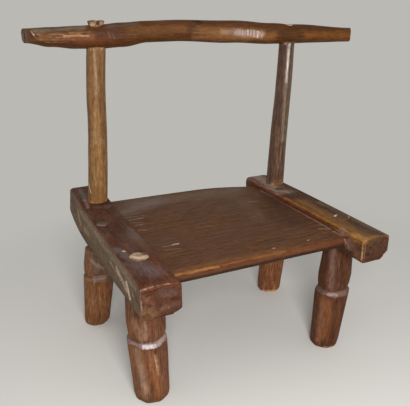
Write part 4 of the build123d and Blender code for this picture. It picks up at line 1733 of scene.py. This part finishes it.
RIGHT_RAIL_MARKS = (
    Mark((120.8, 130, 210.6), (120.5, -40, 210.6), 3, 0x824824, 0.6, 1.6, (2, 26)),
    # worn amber tone over the top's front part, with a painted sheen
    soft((134, -40, 212), (129, -216, 212), 21, 0x885C26, 0.7, 1.3, (2.5, 30), polish=0.3),
    soft((121.4, -10, 211), (121.4, -222, 210), 3.4, 0x9C662C, 0.6, 1.8, (1.6, 22), polish=0.4),
    soft((118.5, -203, 206), (118.5, -216, 202), 6, 0x7C481A, 0.6, 1.4, (2, 4, 2)),
    Mark((121.8, -226.4, 206), (122.2, -226.4, 182), 1.2, 0xB2845A, 0.5, 1.8, (2, 2.5)),
    soft((134, -226.4, 207), (150, -226.4, 206), 5, 0x604E3E, 0.5, 1.8, (2, 2.5)),
    soft((156, -226.4, 204), (150, -226.4, 184), 9, 0x62422C, 0.5, 1.8, (2, 4)),
    # painted sheen: a purple-grey reflection on the top's rear part
    soft((140, 134, 212), (134, 20, 212), 24, 0xAC9484, 0.65, 1.6, (3, 18), polish=0.4),
    soft((131, -226, 198), (156, -226, 192), 26, 0x523424, 0.6, 2, (3, 3)),
    Mark((160, -60, 212), (163, -215, 212), 8, 0x7C644E, 0.4, 2.2, (3, 12)),
    Mark((118.2, 110, 204), (118.2, -140, 204), 6.5, 0x623018, 0.6, 1.1, (3, 26)),
    Mark((119, -224.4, 209), (119.6, -224.8, 180), 1.9, 0xC49464, 0.65, 2, (2, 2.5)),
    Mark((122, -224.4, 210.8), (163, -224.4, 210.8), 2, 0x9E6C3E, 0.5, 2.4, (3, 3)),
    Mark((163, -224, 209), (165.5, -223, 205), 2, STRAW, 0.3, 2, (2, 2)),
    soft((118.2, -174, 209), (118.2, -194, 192), 13, 0x9C7C6A, 0.5, 2.4, (2.5, 4)),
    soft((122, -200, 212), (123, -222, 211), 9, 0xB88642, 0.6, 2, (2, 8), polish=0.3),
    Mark((124, -221, 212), (148, -221, 212), 5, 0x9E703C, 0.45, 2.4, (2, 3)),
    soft((118.2, -198, 207), (118.2, -216, 182), 12, 0x86624A, 0.4, 2.6, (1.4, 6, 1.4)),
    Mark((131, 138, 205), (150, 138, 190), 13, 0x7C5434, 0.5, 1.6, (6, 6)),
)

SEAT_MARKS = (
    soft((-162, -180, 202), (30, -182, 202), 9, 0x7A4E2A, 0.6, 2.2, (1.8, 16)),
    soft((-163, -190, 197), (116, -190, 196), 7.5, 0x5C321C, 0.7, 2, (2, 18)),
    Mark((-160, -187, 200.5), (-96, -187, 200.5), 2.6, 0xA4703E, 0.55, 2.8, (1.5, 9)),
    Mark((-90, -186.5, 200.8), (10, -187, 200.4), 2, 0x8C5C34, 0.4, 3, (1.5, 9)),
    Mark((20, -188, 200), (116, -188.6, 199.4), 3, 0x663620, 0.35, 2.4, (1.5, 12)),
    soft((-100, -186, 201), (-40, -188, 199), 6, 0x60321E, 0.4, 3, (2, 10)),
    soft((20, -184, 202), (114, -184, 202), 10, 0x5C301C, 0.35, 2.4, (2, 16)),
    # dark wood along the front's lower edge, with painted shade under the rounding
    Mark((-166, -189.5, 188.4), (118, -189.5, 188.4), 7, 0x241610, 0.85, 0.9, (2.5, 22), core=0.3),
    Mark((-158, 31, 202), (-133.7, 32.2, 202), 1.4, ROSE, 0.7, 1.8, HAIR),
    Mark((-155.3, 4.9, 202), (-145.7, 2, 202), 1.8, ROSE, 0.8, 1.8, HAIR),
    Mark((-157.1, -18.2, 202), (-147, -22, 202), 1.8, ROSE, 0.6, 1.8, HAIR),
    Mark((-160, 45, 202), (-128, 41, 202), 1.3, ROSE, 0.4, 1.8, HAIR),
    Mark((-162, 18, 202), (-140, 12, 202), 1.3, ROSE, 0.35, 1.8, HAIR),
    Mark((-144.6, -96.5, 202), (-121, -97.2, 202), 1.5, ROSE, 0.6, 1.8, HAIR),
    Mark((-128, -94.8, 202), (-119, -95.6, 202), 1.8, CHALK, 0.7, 1.6, HAIR),
    Mark((-146, -108, 202), (-122, -113, 202), 1.4, ROSE, 0.4, 2, HAIR),
    # painted sheen: grey reflection on the board's rear and left
    soft((-158, 70, 202), (-90, 100, 202), 36, 0x74625C, 0.6, 1.3, (6, 30), polish=0.5),
    soft((-120, 112, 202), (70, 92, 202), 38, 0x786458, 0.45, 1.3, (6, 30), polish=0.3),
    Mark((66, 22, 202), (82, 18.5, 202), 2.2, ROSE, 0.6, 1.8, HAIR),
    Mark((-1.2, -172.8, 202), (0.8, -172.8, 202), 2.2, CHALK, 0.6, 1.2, SPECK),
    Mark((60, -170.4, 202), (62, -170.4, 202), 2, CHALK, 0.45, 1.2, SPECK),
    Mark((117.6, -150, 202), (117.6, 70, 202), 2.6, 0x967E76, 0.75, 1.6, (2, 14, 2)),
    Mark((103, -141, 202), (115, -149, 202), 3.6, ROSE, 0.45, 2, (3, 6)),
    Mark((116, -160, 202), (117, -180, 201), 3.2, ROSE, 0.4, 2.2, SPECK),
    Mark((116.5, -189.5, 200), (117, -190.5, 191), 2.6, ROSE, 0.45, 1.6, (2.5, 3)),
    soft((80, -100, 202), (112, 20, 202), 44, 0x42261C, 0.68, 1.3, (12, 50)),
    Mark((40, -60, 202), (60, 40, 202), 18, 0x6A4C38, 0.4, 2, (4, 40)),
)
SEAT_DENTS = (
    Dent((-160, 31, 202.5), (-133.7, 32.2, 202.5), 2, 0.5),
    Dent((-146, -96.5, 202.5), (-119, -97.2, 202.5), 2, 0.5),
    Dent((66, 22, 202.5), (82, 18.5, 202.5), 3, 0.6),
)

FRONT_LEFT_LEG_MARKS = (
    Mark((-197.4, -131, 212.8), (-185.4, -131, 212.8), 17, 0x967C60, 0.9, 0.6, (4, 4)),
    # painted highlights on the tenon's end
    Mark((-198, -138, 212.8), (-183.5, -141, 212.8), 7.4, 0xDAC09E, 0.75, 3.6, (1.5, 1.5)),
    Mark((-203, -130, 212.8), (-185, -125, 212.8), 6, 0xCEB496, 0.6, 3.8, (1.5, 1.5)),
    Mark((-186, -119, 212.8), (-178.5, -134, 212.8), 4.4, SOOT, 0.6, 2.2, (2.2, 2.2)),
    Mark((-205, -137, 212.8), (-200, -143, 212.8), 2.6, SOOT, 0.6, 2.2, (2.2, 2.2)),
    Mark((-196, -129, 212.8), (-186, -131, 212.8), 2.4, SOOT, 0.45, 2.4, (2, 2)),
    # painted highlight on the collar ledge
    Mark((-204.5, -172, 92.5), (-190, -174, 91), 4.2, 0xCABCBC, 0.75, 1.4, (2.2, 2.2)),
    Mark((-183, -172, 92), (-170, -160, 94), 5, 0xBAA29A, 0.5, 1.8, (2.5, 2.5)),
    soft((-213, -165, 84), (-207, -175, 20), 9, 0x947A68, 0.55, 3, (1, 12)),
    soft((-191, -178, 77), (-188, -181, 47), 2.8, 0xB49276, 0.5, 3.4, (0.9, 10)),
    soft((-196, -178, 70), (-192, -181, 16), 7, 0x965C34, 0.35, 2.4, (1.5, 9)),
    soft((-202, -175, 60), (-199, -180, 14), 5, 0x542E1E, 0.4, 2.6, (1.2, 12)),
    soft((-215, -162, 128), (-205, -169, 102), 9, 0x9E7A62, 0.4, 3, (1.2, 10)),
    soft((-200, -170, 130), (-200, -170, 104), 3.4, 0x9C7C6E, 0.45, 2.6, (1.2, 8)),
    soft((-194, -171, 128), (-193, -172, 104), 7, 0x583022, 0.65, 2.2, (1.4, 10)),
    soft((-172, -168, 84), (-170, -172, 20), 12, 0x64382A, 0.75, 2, (1.6, 12)),
)

FRONT_RIGHT_LEG_MARKS = (
    Mark((151, -134, 212.8), (151, -134, 212), 22, 0x60422C, 0.95, 0.7, (4, 4)),
    Mark((140.2, -129.5, 212.8), (146.5, -122.5, 212.8), 3.4, CHALK, 0.85, 1.6, SPECK),
    Mark((158.5, -145, 212.8), (163, -138, 212.8), 2.6, CHALK, 0.5, 1.8, SPECK),
    soft((120, -156, 165), (116, -163, 104), 9, 0x7A5E54, 0.55, 3.2, (1, 10)),
    soft((134, -158, 165), (132, -165, 104), 10, 0x46281A, 0.4, 2.6, (1.2, 12)),
    soft((108, -158, 80), (96, -164, 14), 12, 0x7E543A, 0.6, 2.2, (1.4, 10)),
    soft((115, -166, 80), (103, -172, 20), 6, 0x884E26, 0.45, 2.4, (1.4, 8)),
    Mark((129, -162, 150), (127, -168, 108), 1.6, 0x96786A, 0.15, 2.8, (1.4, 8)),
    # painted highlight on the collar ledge
    Mark((108, -166, 94.5), (122, -171, 94), 3.4, 0xBEA49E, 0.5, 1.8, (2.2, 2.2)),
    Mark((104, -173, 2), (121, -175, 3), 2.4, 0xA88268, 0.5, 1.8, (2, 2)),
)

REAR_RIGHT_LEG_MARKS = (
    Mark((138.7, 35, 212.8), (138.7, 35, 212), 16, 0x624838, 0.92, 0.6, (4, 4)),
    Mark((108, 36, 2), (116, 30, 2), 3, 0xBE8C64, 0.6, 1.4, (2, 2)),
    Mark((116, 30, 2), (127, 27, 2.5), 3.4, 0xCC9C70, 0.75, 1.4, (2, 2)),
    Mark((127, 27, 2), (138, 31, 2), 3.4, 0xC89668, 0.6, 1.4, (2, 2)),
    soft((124, 27, 22), (127, 27, 6), 5, 0xA87646, 0.6, 2.4, (2, 8)),
)

REAR_LEFT_LEG_MARKS = (
    Mark((-213.8, 9, 212.8), (-200.8, 9, 212.8), 14, 0x584E44, 0.9, 0.9, (4, 4)),
    Mark((-216, 6, 212.8), (-208, 1.5, 212.8), 3.6, 0x84786C, 0.5, 2.6, (1.6, 1.6)),
    Mark((-214, 15, 212.8), (-205, 16.5, 212.8), 3, 0x42362E, 0.5, 2.6, (1.6, 1.6)),
    # painted grey sheen on the neck
    soft((-230, 15, 163), (-221, 11, 118), 15, 0x5C5048, 0.6, 2.4, (2.5, 8)),
    # painted highlight
    Mark((-222, 12, 141), (-214, 10, 134), 5, 0x8C807A, 0.5, 2, (3, 5)),
    Mark((-226, 22, 113), (-208, 20, 114), 6, 0x9E867E, 0.6, 2, (3, 3)),
    # painted highlight
    soft((-229, 15, 152), (-226, 14, 146), 5, 0x968C86, 0.5, 1.8, (2, 5)),
)

LEFT_POST_MARKS = (
    Mark((-202.5, 123, 246), (-201, 117.4, 232.5), 2.2, CHALK, 0.6, 2.4, (1.6, 3)),
    Mark((-204, 118, 217), (-176, 112, 217), 12, 0x925A2E, 0.45, 1.6, (3, 10)),
    Mark((-184, 110, 474.6), (-162, 107.6, 475), 2, 0xC4A68A, 0.5, 2.4, SPECK),
    # painted highlight down the lit middle of the post
    soft((-176.5, 107.5, 474), (-179, 108, 405), 4.2, 0xBA9678, 0.55, 2.6, (1.4, 12), polish=0.2),
    soft((-178.5, 108.3, 410), (-188, 110.5, 320), 5.4, 0xA88254, 0.5, 2.6, (1.4, 12), polish=0.2),
    soft((-180, 108.4, 360), (-186, 110.5, 230), 8, 0x9C703E, 0.4, 2.2, (1.6, 16), polish=0.2),
    Mark((-170, 109, 460), (-176, 110, 300), 3, 0x6C4A2E, 0.35, 2.4, (1.5, 18)),
    Mark((-178, 112, 513.5), (-156, 110, 513.5), 4.4, 0xD0AC90, 0.8, 1.6, SPECK),
    Mark((-179, 112, 518.6), (-156, 110, 518.2), 1.6, SOOT, 0.75, 2.6, (1.8, 1.8)),
    Mark((-167, 110, 521), (-168, 110, 514), 1.8, SOOT, 0.6, 2, (1.8, 1.8)),
    Mark((-176, 118, 521), (-160, 118, 521), 3.2, SOOT, 0.6, 2.4, (2.2, 2.2)),
    Mark((-205, 116, 213.6), (-174, 112, 213.6), 2.6, 0xC89058, 0.5, 2, SPECK),
    # painted shade down the post's left side
    soft((-196, 118, 400), (-197, 118, 330), 8, 0x684A3A, 0.5, 2.2, (2, 16)),
    Mark((-188, 112, 336), (-178, 109, 322), 9, 0x9E7C5C, 0.4, 2.6, (3, 4)),
)
LEFT_POST_DENTS = (
    Dent((-195, 131, 362), (-195.5, 131, 334), 34, 1.3),
)

RIGHT_POST_MARKS = (
    # painted shade down the post's left side
    soft((150, 58, 468), (147, 59, 330), 9, 0x442C24, 0.7, 2, (2, 22)),
    soft((168, 57, 468), (162, 58, 300), 8, 0x70624C, 0.6, 2.8, (1.6, 4)),
    Mark((163.5, 54.6, 470), (160, 55.4, 400), 1.6, 0x3C2C22, 0.6, 1.8, (1.6, 12)),
    # painted highlight: a glossy stripe down the post
    soft((159.5, 54, 473), (156.6, 54.8, 408), 3.8, 0xD6C8C0, 0.9, 1.8, (1.3, 12), polish=0.6),
    soft((156.5, 54.8, 412), (153, 55.5, 300), 5, 0x988476, 0.55, 2.6, (1.4, 10), polish=0.3),
    Mark((152, 56, 474.4), (172, 57, 474.4), 2, 0xBA8E6C, 0.6, 2.2, SPECK),
    Mark((140, 60, 216), (156, 54, 216), 10, 0x7E5434, 0.5, 1.6, (3, 12)),
    Mark((154, 58, 507.5), (170, 60, 507.5), 6.5, 0xC8A686, 0.9, 1, SPECK),
    Mark((136, 62, 213.6), (158, 58, 213.6), 2.8, 0xB09274, 0.5, 2, SPECK),
)

CREST_MARKS = (
    soft((-274, 128.5, 503), (-273.5, 128, 492), 4.5, 0x502A1C, 0.6, 1.6, (3, 5)),
    Mark((-269.4, 126.4, 505), (-265.6, 125.2, 498.8), 0.9, 0xBA8C68, 0.8, 1, SPECK),
    Mark((-265.2, 125, 497), (-260.5, 123.6, 492), 0.9, 0xB0805A, 0.35, 1.2, SPECK),
    Mark((-266.6, 125.4, 500), (-265.8, 125.2, 499), 1.3, CHALK, 0.8, 1, SPECK),
    Mark((-270, 127, 500), (-269, 126.4, 493), 1.8, SOOT, 0.45, 1.6, (2, 2)),
    Mark((-281, 146, 500), (-281, 147, 489), 1.6, ROSE, 0.4, 1.8, (1.5, 1.5)),
    Mark((-276.5, 137, 502), (-277, 137.5, 488), 1.4, ROSE, 0.3, 1.8, (1.5, 1.5)),
    Mark((-278.8, 141.5, 502), (-279, 142, 488), 1.6, SOOT, 0.6, 1.8, (1.5, 1.5)),
    soft((-256, 122.8, 496.5), (-178, 107, 494.5), 10, 0x8A5A34, 0.5, 1.8, (2, 12), polish=0.3),
    Mark((-262, 124, 500.5), (-196, 110.4, 498.5), 0.9, SCRATCH, 0.4, 2.2, HAIR),
    Mark((-222, 115, 496.8), (-184, 107.9, 496.2), 1.1, 0xD6AA7A, 0.65, 2.2, HAIR),
    Mark((-258, 122.8, 491.8), (-206, 110.6, 490.6), 0.9, SCRATCH, 0.25, 2.2, HAIR),
    Mark((-234, 116.7, 494.6), (-214, 112.8, 494.2), 1, 0xBA9458, 0.45, 2, HAIR),
    Mark((-250, 121, 487.5), (-222, 113.8, 486.6), 0.8, SCRATCH, 0.25, 2, HAIR),
    Mark((-214, 113, 502), (-180, 107.6, 501.5), 0.8, SCRATCH, 0.3, 2, HAIR),
    soft((-226, 114, 490), (-150, 101, 488), 8, 0x68301C, 0.5, 2, (2.5, 9)),
    soft((-160, 104.4, 503), (-128, 98, 493), 15, 0x4C2618, 0.5, 1.6, (3, 5)),
    Mark((-153.5, 101.5, 501), (-151.4, 100.8, 494), 1, STRAW, 0.25, 2.4, (1.5, 2)),
    Mark((-146, 100.2, 497), (-144, 99.5, 491), 0.9, STRAW, 0.15, 2.4, (1.5, 2)),
    # painted sheen along the top edge
    soft((-264, 127.5, 506), (-190, 113, 510), 8, 0x7A6C5C, 0.55, 1.8, (2, 14)),
    soft((-152, 104, 512), (-104, 96, 516), 8, 0x605246, 0.5, 1.8, (2, 14)),
    Mark((-6.5, 88.3, 516), (-0.5, 84, 512), 8, 0x301A12, 0.9, 1.6, (3, 5), core=0.2),
    soft((-118, 96, 503), (-30, 82, 505), 11, 0x7E4E22, 0.35, 1.8, (2.5, 14), polish=0.2),
    # painted highlight: the front's glare with fine light lines across it
    soft((0, 76, 497), (122, 57, 488), 17, 0x8C5C2E, 0.55, 1.6, (2.5, 14), polish=0.3),
    soft((36, 70.5, 497), (66, 66, 495), 8.5, 0x9C806C, 0.55, 1.5, (2.5, 8), polish=0.5),
    soft((-10, 80, 489), (80, 66, 485), 10, 0x885E3A, 0.6, 1.5, (2.5, 14)),
    Mark((62, 66, 495.6), (106, 59.5, 491.8), 9.5, 0xB29688, 0.75, 1.3, (2.5, 5), polish=0.6, core=0.1),
    *(
        Mark((x, 76 - x * 0.155, high), (x - 0.5, 76 - x * 0.155, low), 1.8, 0xD6C6BE, share, 1.2, SPECK,
             polish=0.4, core=0.2)
        for x, high, low, share in (
            (67, 499, 494, 0.4), (72.6, 499, 493, 0.35), (81.7, 498.5, 490, 0.45), (87.1, 498, 490, 0.35),
            (92.6, 497.5, 489, 0.4), (99.8, 496, 486.5, 0.85), (106.6, 492, 486.5, 0.3),
        )
    ),
    Mark((282, 40, 500), (282, 40, 476), 2, SOOT, 0.5, 1.6, (3, 3)),
    soft((190, 50, 489), (278, 38, 487), 10, 0x8A5420, 0.45, 1.8, (2.5, 14), polish=0.2),
)
CREST_DENTS = (
    Dent((-266.5, 123, 503), (-265, 122, 496), 4, 1.6),
    Dent((-157, 100, 506), (-150, 97, 490), 4, 0.8),
    Dent((-5, 84, 516), (-1, 82, 513), 5, 1.4),
)
CREST_CHIP = Chip((-271, 122.5, 498), (-0.5, -1, 0.25), 12, 0.8, 3)


# ---- studio

@dataclass(frozen=True)
class Studio:
    """Plain pale floor and background, soft light and the camera; metres, but for its place."""

    background: Colour = 0xBBB9B4
    floor_colour: Colour = 0xDAD8D3
    floor_size: float = 14.0
    floor_fade: tuple[float, float] = (0.34, 0.74)
    sky: float = 0.5
    sky_light: Light = (1.0, 0.99, 0.97, 1.0)
    key_power: float = 12.0
    key_size: float = 0.42
    key_target: Triple = (0.0, 0.0, 0.22)
    key_distance: float = 1.18
    key_turn: float = -19.0
    key_height: float = 21.0
    camera_place: Triple = (-374.0, -773.0, 521.4)
    camera_turn: float = -23.82
    camera_height: float = 19.5
    camera_roll: float = -1.0
    camera_range: tuple[float, float] = (0.02, 60.0)
    focal_pixels: float = 525.0
    picture_width: float = 410.0
    sensor: float = 36.0

    def build(self) -> None:
        """Sets up floor, world, lamp, camera and view."""
        self.floor()
        self.world()
        self.lamp()
        self.camera()
        bpy.context.scene.view_settings.view_transform = "Standard"

    def floor(self) -> None:
        """A wide floor that fades into the background, and is clear from below."""
        half = self.floor_size / 2
        mesh = bpy.data.meshes.new("floor")
        corners = [(-half, -half, 0), (half, -half, 0), (half, half, 0), (-half, half, 0)]
        mesh.from_pydata(corners, [], [(0, 1, 2, 3)])
        floor = placed("floor", mesh)
        made = bpy.data.materials.new("floor")
        bench = Bench.emptied(made)
        place = bench.add("TexCoord", {}).outputs["Object"]
        far = bench.step(bench.measure("LENGTH", place), *self.floor_fade)
        plain = bench.add("BsdfDiffuse", {"Color": light(self.floor_colour)}).outputs[0]
        glow = bench.add("Emission", {"Color": light(self.background), "Strength": 1.0}).outputs[0]
        shown = bench.add("MixShader", {0: far, 1: plain, 2: glow}).outputs[0]
        under = bench.add("NewGeometry", {}).outputs["Backfacing"]
        clear = bench.add("BsdfTransparent", {}).outputs[0]
        surface = bench.add("MixShader", {0: under, 1: shown, 2: clear}).outputs[0]
        bench.add("OutputMaterial", {"Surface": surface})
        mesh.materials.append(made)

    def world(self) -> None:
        """Even light from all round, and the background that camera and gloss see."""
        made = bpy.data.worlds.new("studio")
        bpy.context.scene.world = made
        bench = Bench.emptied(made)
        path = bench.add("LightPath", {}).outputs
        seen = bench.math("MAXIMUM", path["Is Camera Ray"], path["Is Glossy Ray"])
        seen = bench.math("MAXIMUM", seen, path["Is Transmission Ray"])
        lit = bench.add("Background", {"Color": self.sky_light, "Strength": self.sky}).outputs[0]
        shown = bench.add("Background", {"Color": light(self.background), "Strength": 1.0}).outputs[0]
        surface = bench.add("MixShader", {0: seen, 1: lit, 2: shown}).outputs[0]
        bench.add("OutputWorld", {"Surface": surface})

    def lamp(self) -> None:
        """One broad lamp from the camera's right and above."""
        lamp = bpy.data.lights.new("key", "AREA")
        lamp.shape, lamp.size, lamp.energy = "DISK", self.key_size, self.key_power
        back = bearing(self.key_turn, self.key_height)
        key = placed("key", lamp)
        key.location = Vector(self.key_target) + back * self.key_distance
        key.rotation_mode = "QUATERNION"
        key.rotation_quaternion = back.to_track_quat("Z", "Y")

    def camera(self) -> None:
        """The camera, set by its place, turn, height and roll."""
        made = bpy.data.cameras.new("camera")
        made.sensor_width = self.sensor
        made.lens = self.focal_pixels / self.picture_width * self.sensor
        made.clip_start, made.clip_end = self.camera_range
        back, roll = bearing(self.camera_turn, self.camera_height), radians(self.camera_roll)
        right = (-back).cross(UP).normalized()
        up = right.cross(-back)
        tilted_right = right * cos(roll) + up * sin(roll)
        tilted_up = up * cos(roll) - right * sin(roll)
        turned = Matrix((tilted_right, tilted_up, back)).transposed().to_4x4()
        camera = placed("camera", made)
        camera.matrix_world = Matrix.Translation(Vector(self.camera_place) * MM) @ turned
        bpy.context.scene.camera = camera


# ---- the chair

@dataclass(frozen=True)
class Chair:
    """The whole chair, its pieces in the order that they are made."""

    datum: Datum

    LEFT_THICKNESS = 44.5
    RIGHT_THICKNESS = 38.0

    def legs(self) -> list[Leg]:
        """The four whittled legs.

        Returns:
            Front left, front right, rear left and rear right.
        """
        left = {"datum": self.datum, "side": Side.LEFT, "rail_bottom": RAIL_TOP - self.LEFT_THICKNESS}
        right = {"datum": self.datum, "side": Side.RIGHT, "rail_bottom": RAIL_TOP - self.RIGHT_THICKNESS}
        return [
            Leg(
                **left, node="leg_front_left", finish=Wood.FRONT_LEFT_LEG, seed=11,
                marks=FRONT_LEFT_LEG_MARKS, girth=57, collar_height=87, tenon_radius=13.5, tenon_out=27,
                tenon_back=93, foot_out=-1, foot_back=-21, turn=10.5, rim=2.6, rim_bare=0, ledge=9.5,
                drops=(0, 0, 0, -5, -7, -4, -3.5, -1.5), barrel_swell=(1.5, 0, 0, 0, 0, 0, 0, 2),
                neck_swell=(1.5, 0, 0, 1, 1, 0, 0, 2),
            ),
            Leg(
                **right, node="leg_front_right", finish=Wood.FRONT_RIGHT_LEG, seed=12,
                marks=FRONT_RIGHT_LEG_MARKS, girth=51, collar_height=90, tenon_radius=13.5, tenon_out=30,
                tenon_back=90.5, foot_out=-34, foot_back=-19, turn=18, rim=2, rim_bare=0.4, ledge=7.5,
                drops=(-2, 0, 0, -3, -4, -1, -3, -3), barrel_swell=(2.5, 0, 0, -2.5, -1.5, -0.5, 3.5, 4.8),
                neck_swell=(2.5, 0, 0, -1, -1, 0, 4, 5.3), collar_swell=(2, 0, 0, -1, -0.5, 0, 2.5, 4),
            ),
            Leg(
                **left, node="leg_rear_left", finish=Wood.REAR_LEFT_LEG, seed=13,
                marks=REAR_LEFT_LEG_MARKS, girth=49.5, collar_height=104.5, tenon_radius=9.5, tenon_out=43.5,
                tenon_back=236, foot_out=10.5, foot_back=68, turn=15, rim=3, rim_bare=0.2, ledge=8,
                drops=(0, 0, -4, -5, -4, -2.5, -1, 0), barrel_swell=(0, 0, 2, 3.5, 2.5, 0.5, 0, 0),
                neck_swell=(0, 0, 3.5, 6, 4.5, 1, 0, 0), collar_swell=(0, 0, 1, 1.8, 1, 0, 0, 0),
            ),
            Leg(
                **right, node="leg_rear_right", finish=Wood.REAR_RIGHT_LEG, seed=14,
                marks=REAR_RIGHT_LEG_MARKS, girth=48.5, collar_height=92, tenon_radius=9.5, tenon_out=20.5,
                tenon_back=262, foot_out=-12, foot_back=13, turn=15, rim=0.5, rim_bare=0.9,
            ),
        ]

    def posts(self) -> tuple[Post, Post]:
        """The two branch posts.

        Returns:
            The left and the right one.
        """
        left = Post(
            node="left_post", datum=self.datum, side=Side.LEFT, finish=Wood.LEFT_POST, seed=21,
            marks=LEFT_POST_MARKS, dents=LEFT_POST_DENTS, out=23, back=353, lean_out=-18.6, lean_back=-4,
            sway=1, foot_radius=17.4, head_radius=15.6, tenon_radius=12.25, proud=7.6, crest_height=37.5,
            cleft=0.5, spread_out=1.6,
        )
        right = Post(
            node="right_post", datum=self.datum, side=Side.RIGHT, finish=Wood.RIGHT_POST, seed=22,
            marks=RIGHT_POST_MARKS, out=32, back=300, lean_out=12, lean_back=-7, sway=-0.8,
            foot_radius=16.6, head_radius=13.7, tenon_radius=8.5, proud=1.8, crest_height=31,
        )
        return left, right

    def rails(self, legs: Sequence[Leg], posts: Sequence[Post]) -> tuple[SideRail, SideRail]:
        """The two side rails, bored for what stands in them.

        Args:
            legs: the legs of both sides.
            posts: the posts of both sides.

        Returns:
            The left and the right one.
        """
        holes = {
            side: [leg.hole() for leg in legs if leg.side == side]
            + [post.foot_hole() for post in posts if post.side == side]
            for side in Side
        }
        left = SideRail(
            node="left_rail", datum=self.datum, side=Side.LEFT, finish=Wood.LEFT_RAIL, seed=41,
            marks=LEFT_RAIL_MARKS, dents=LEFT_RAIL_DENTS, holes=holes[Side.LEFT], length=454,
            thickness=self.LEFT_THICKNESS, widths=(55, 66, 61), batter=9, edges=(4.5, 4.5, 3.5, 6.5),
            hewing=0.7, broken_corner_out=0, outer_age=0.8,
        )
        right = SideRail(
            node="right_rail", datum=self.datum, side=Side.RIGHT, finish=Wood.RIGHT_RAIL, seed=42,
            marks=RIGHT_RAIL_MARKS, holes=holes[Side.RIGHT], length=362, thickness=self.RIGHT_THICKNESS,
            widths=(48.5, 52.5, 49.5), batter=1.5, edges=(4, 4.5, 3.5, 8), hewing=0.5,
            broken_corner_out=48.5, break_width=15.5, break_height=12.5,
        )
        return left, right

    def build(self) -> None:
        """Makes every piece."""
        legs, posts = self.legs(), self.posts()
        seat = SeatBoard(
            node="seat_board", datum=self.datum, finish=Wood.SEAT, seed=31, marks=SEAT_MARKS,
            dents=SEAT_DENTS,
        )
        crest = CrestRail(
            node="crest_rail", finish=Wood.CREST, seed=77, marks=CREST_MARKS, dents=CREST_DENTS,
            left=posts[0], right=posts[1], chip=CREST_CHIP,
        )
        for piece in (*self.rails(legs, posts), seat, *legs, *posts, crest):
            piece.build()


def main() -> None:
    """Loads the frame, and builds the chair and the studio."""
    logging.basicConfig(level=logging.INFO, format="%(name)s: %(message)s")
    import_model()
    Chair(Datum.of_frame()).build()
    Studio().build()


if __name__ == "__main__":
    main()
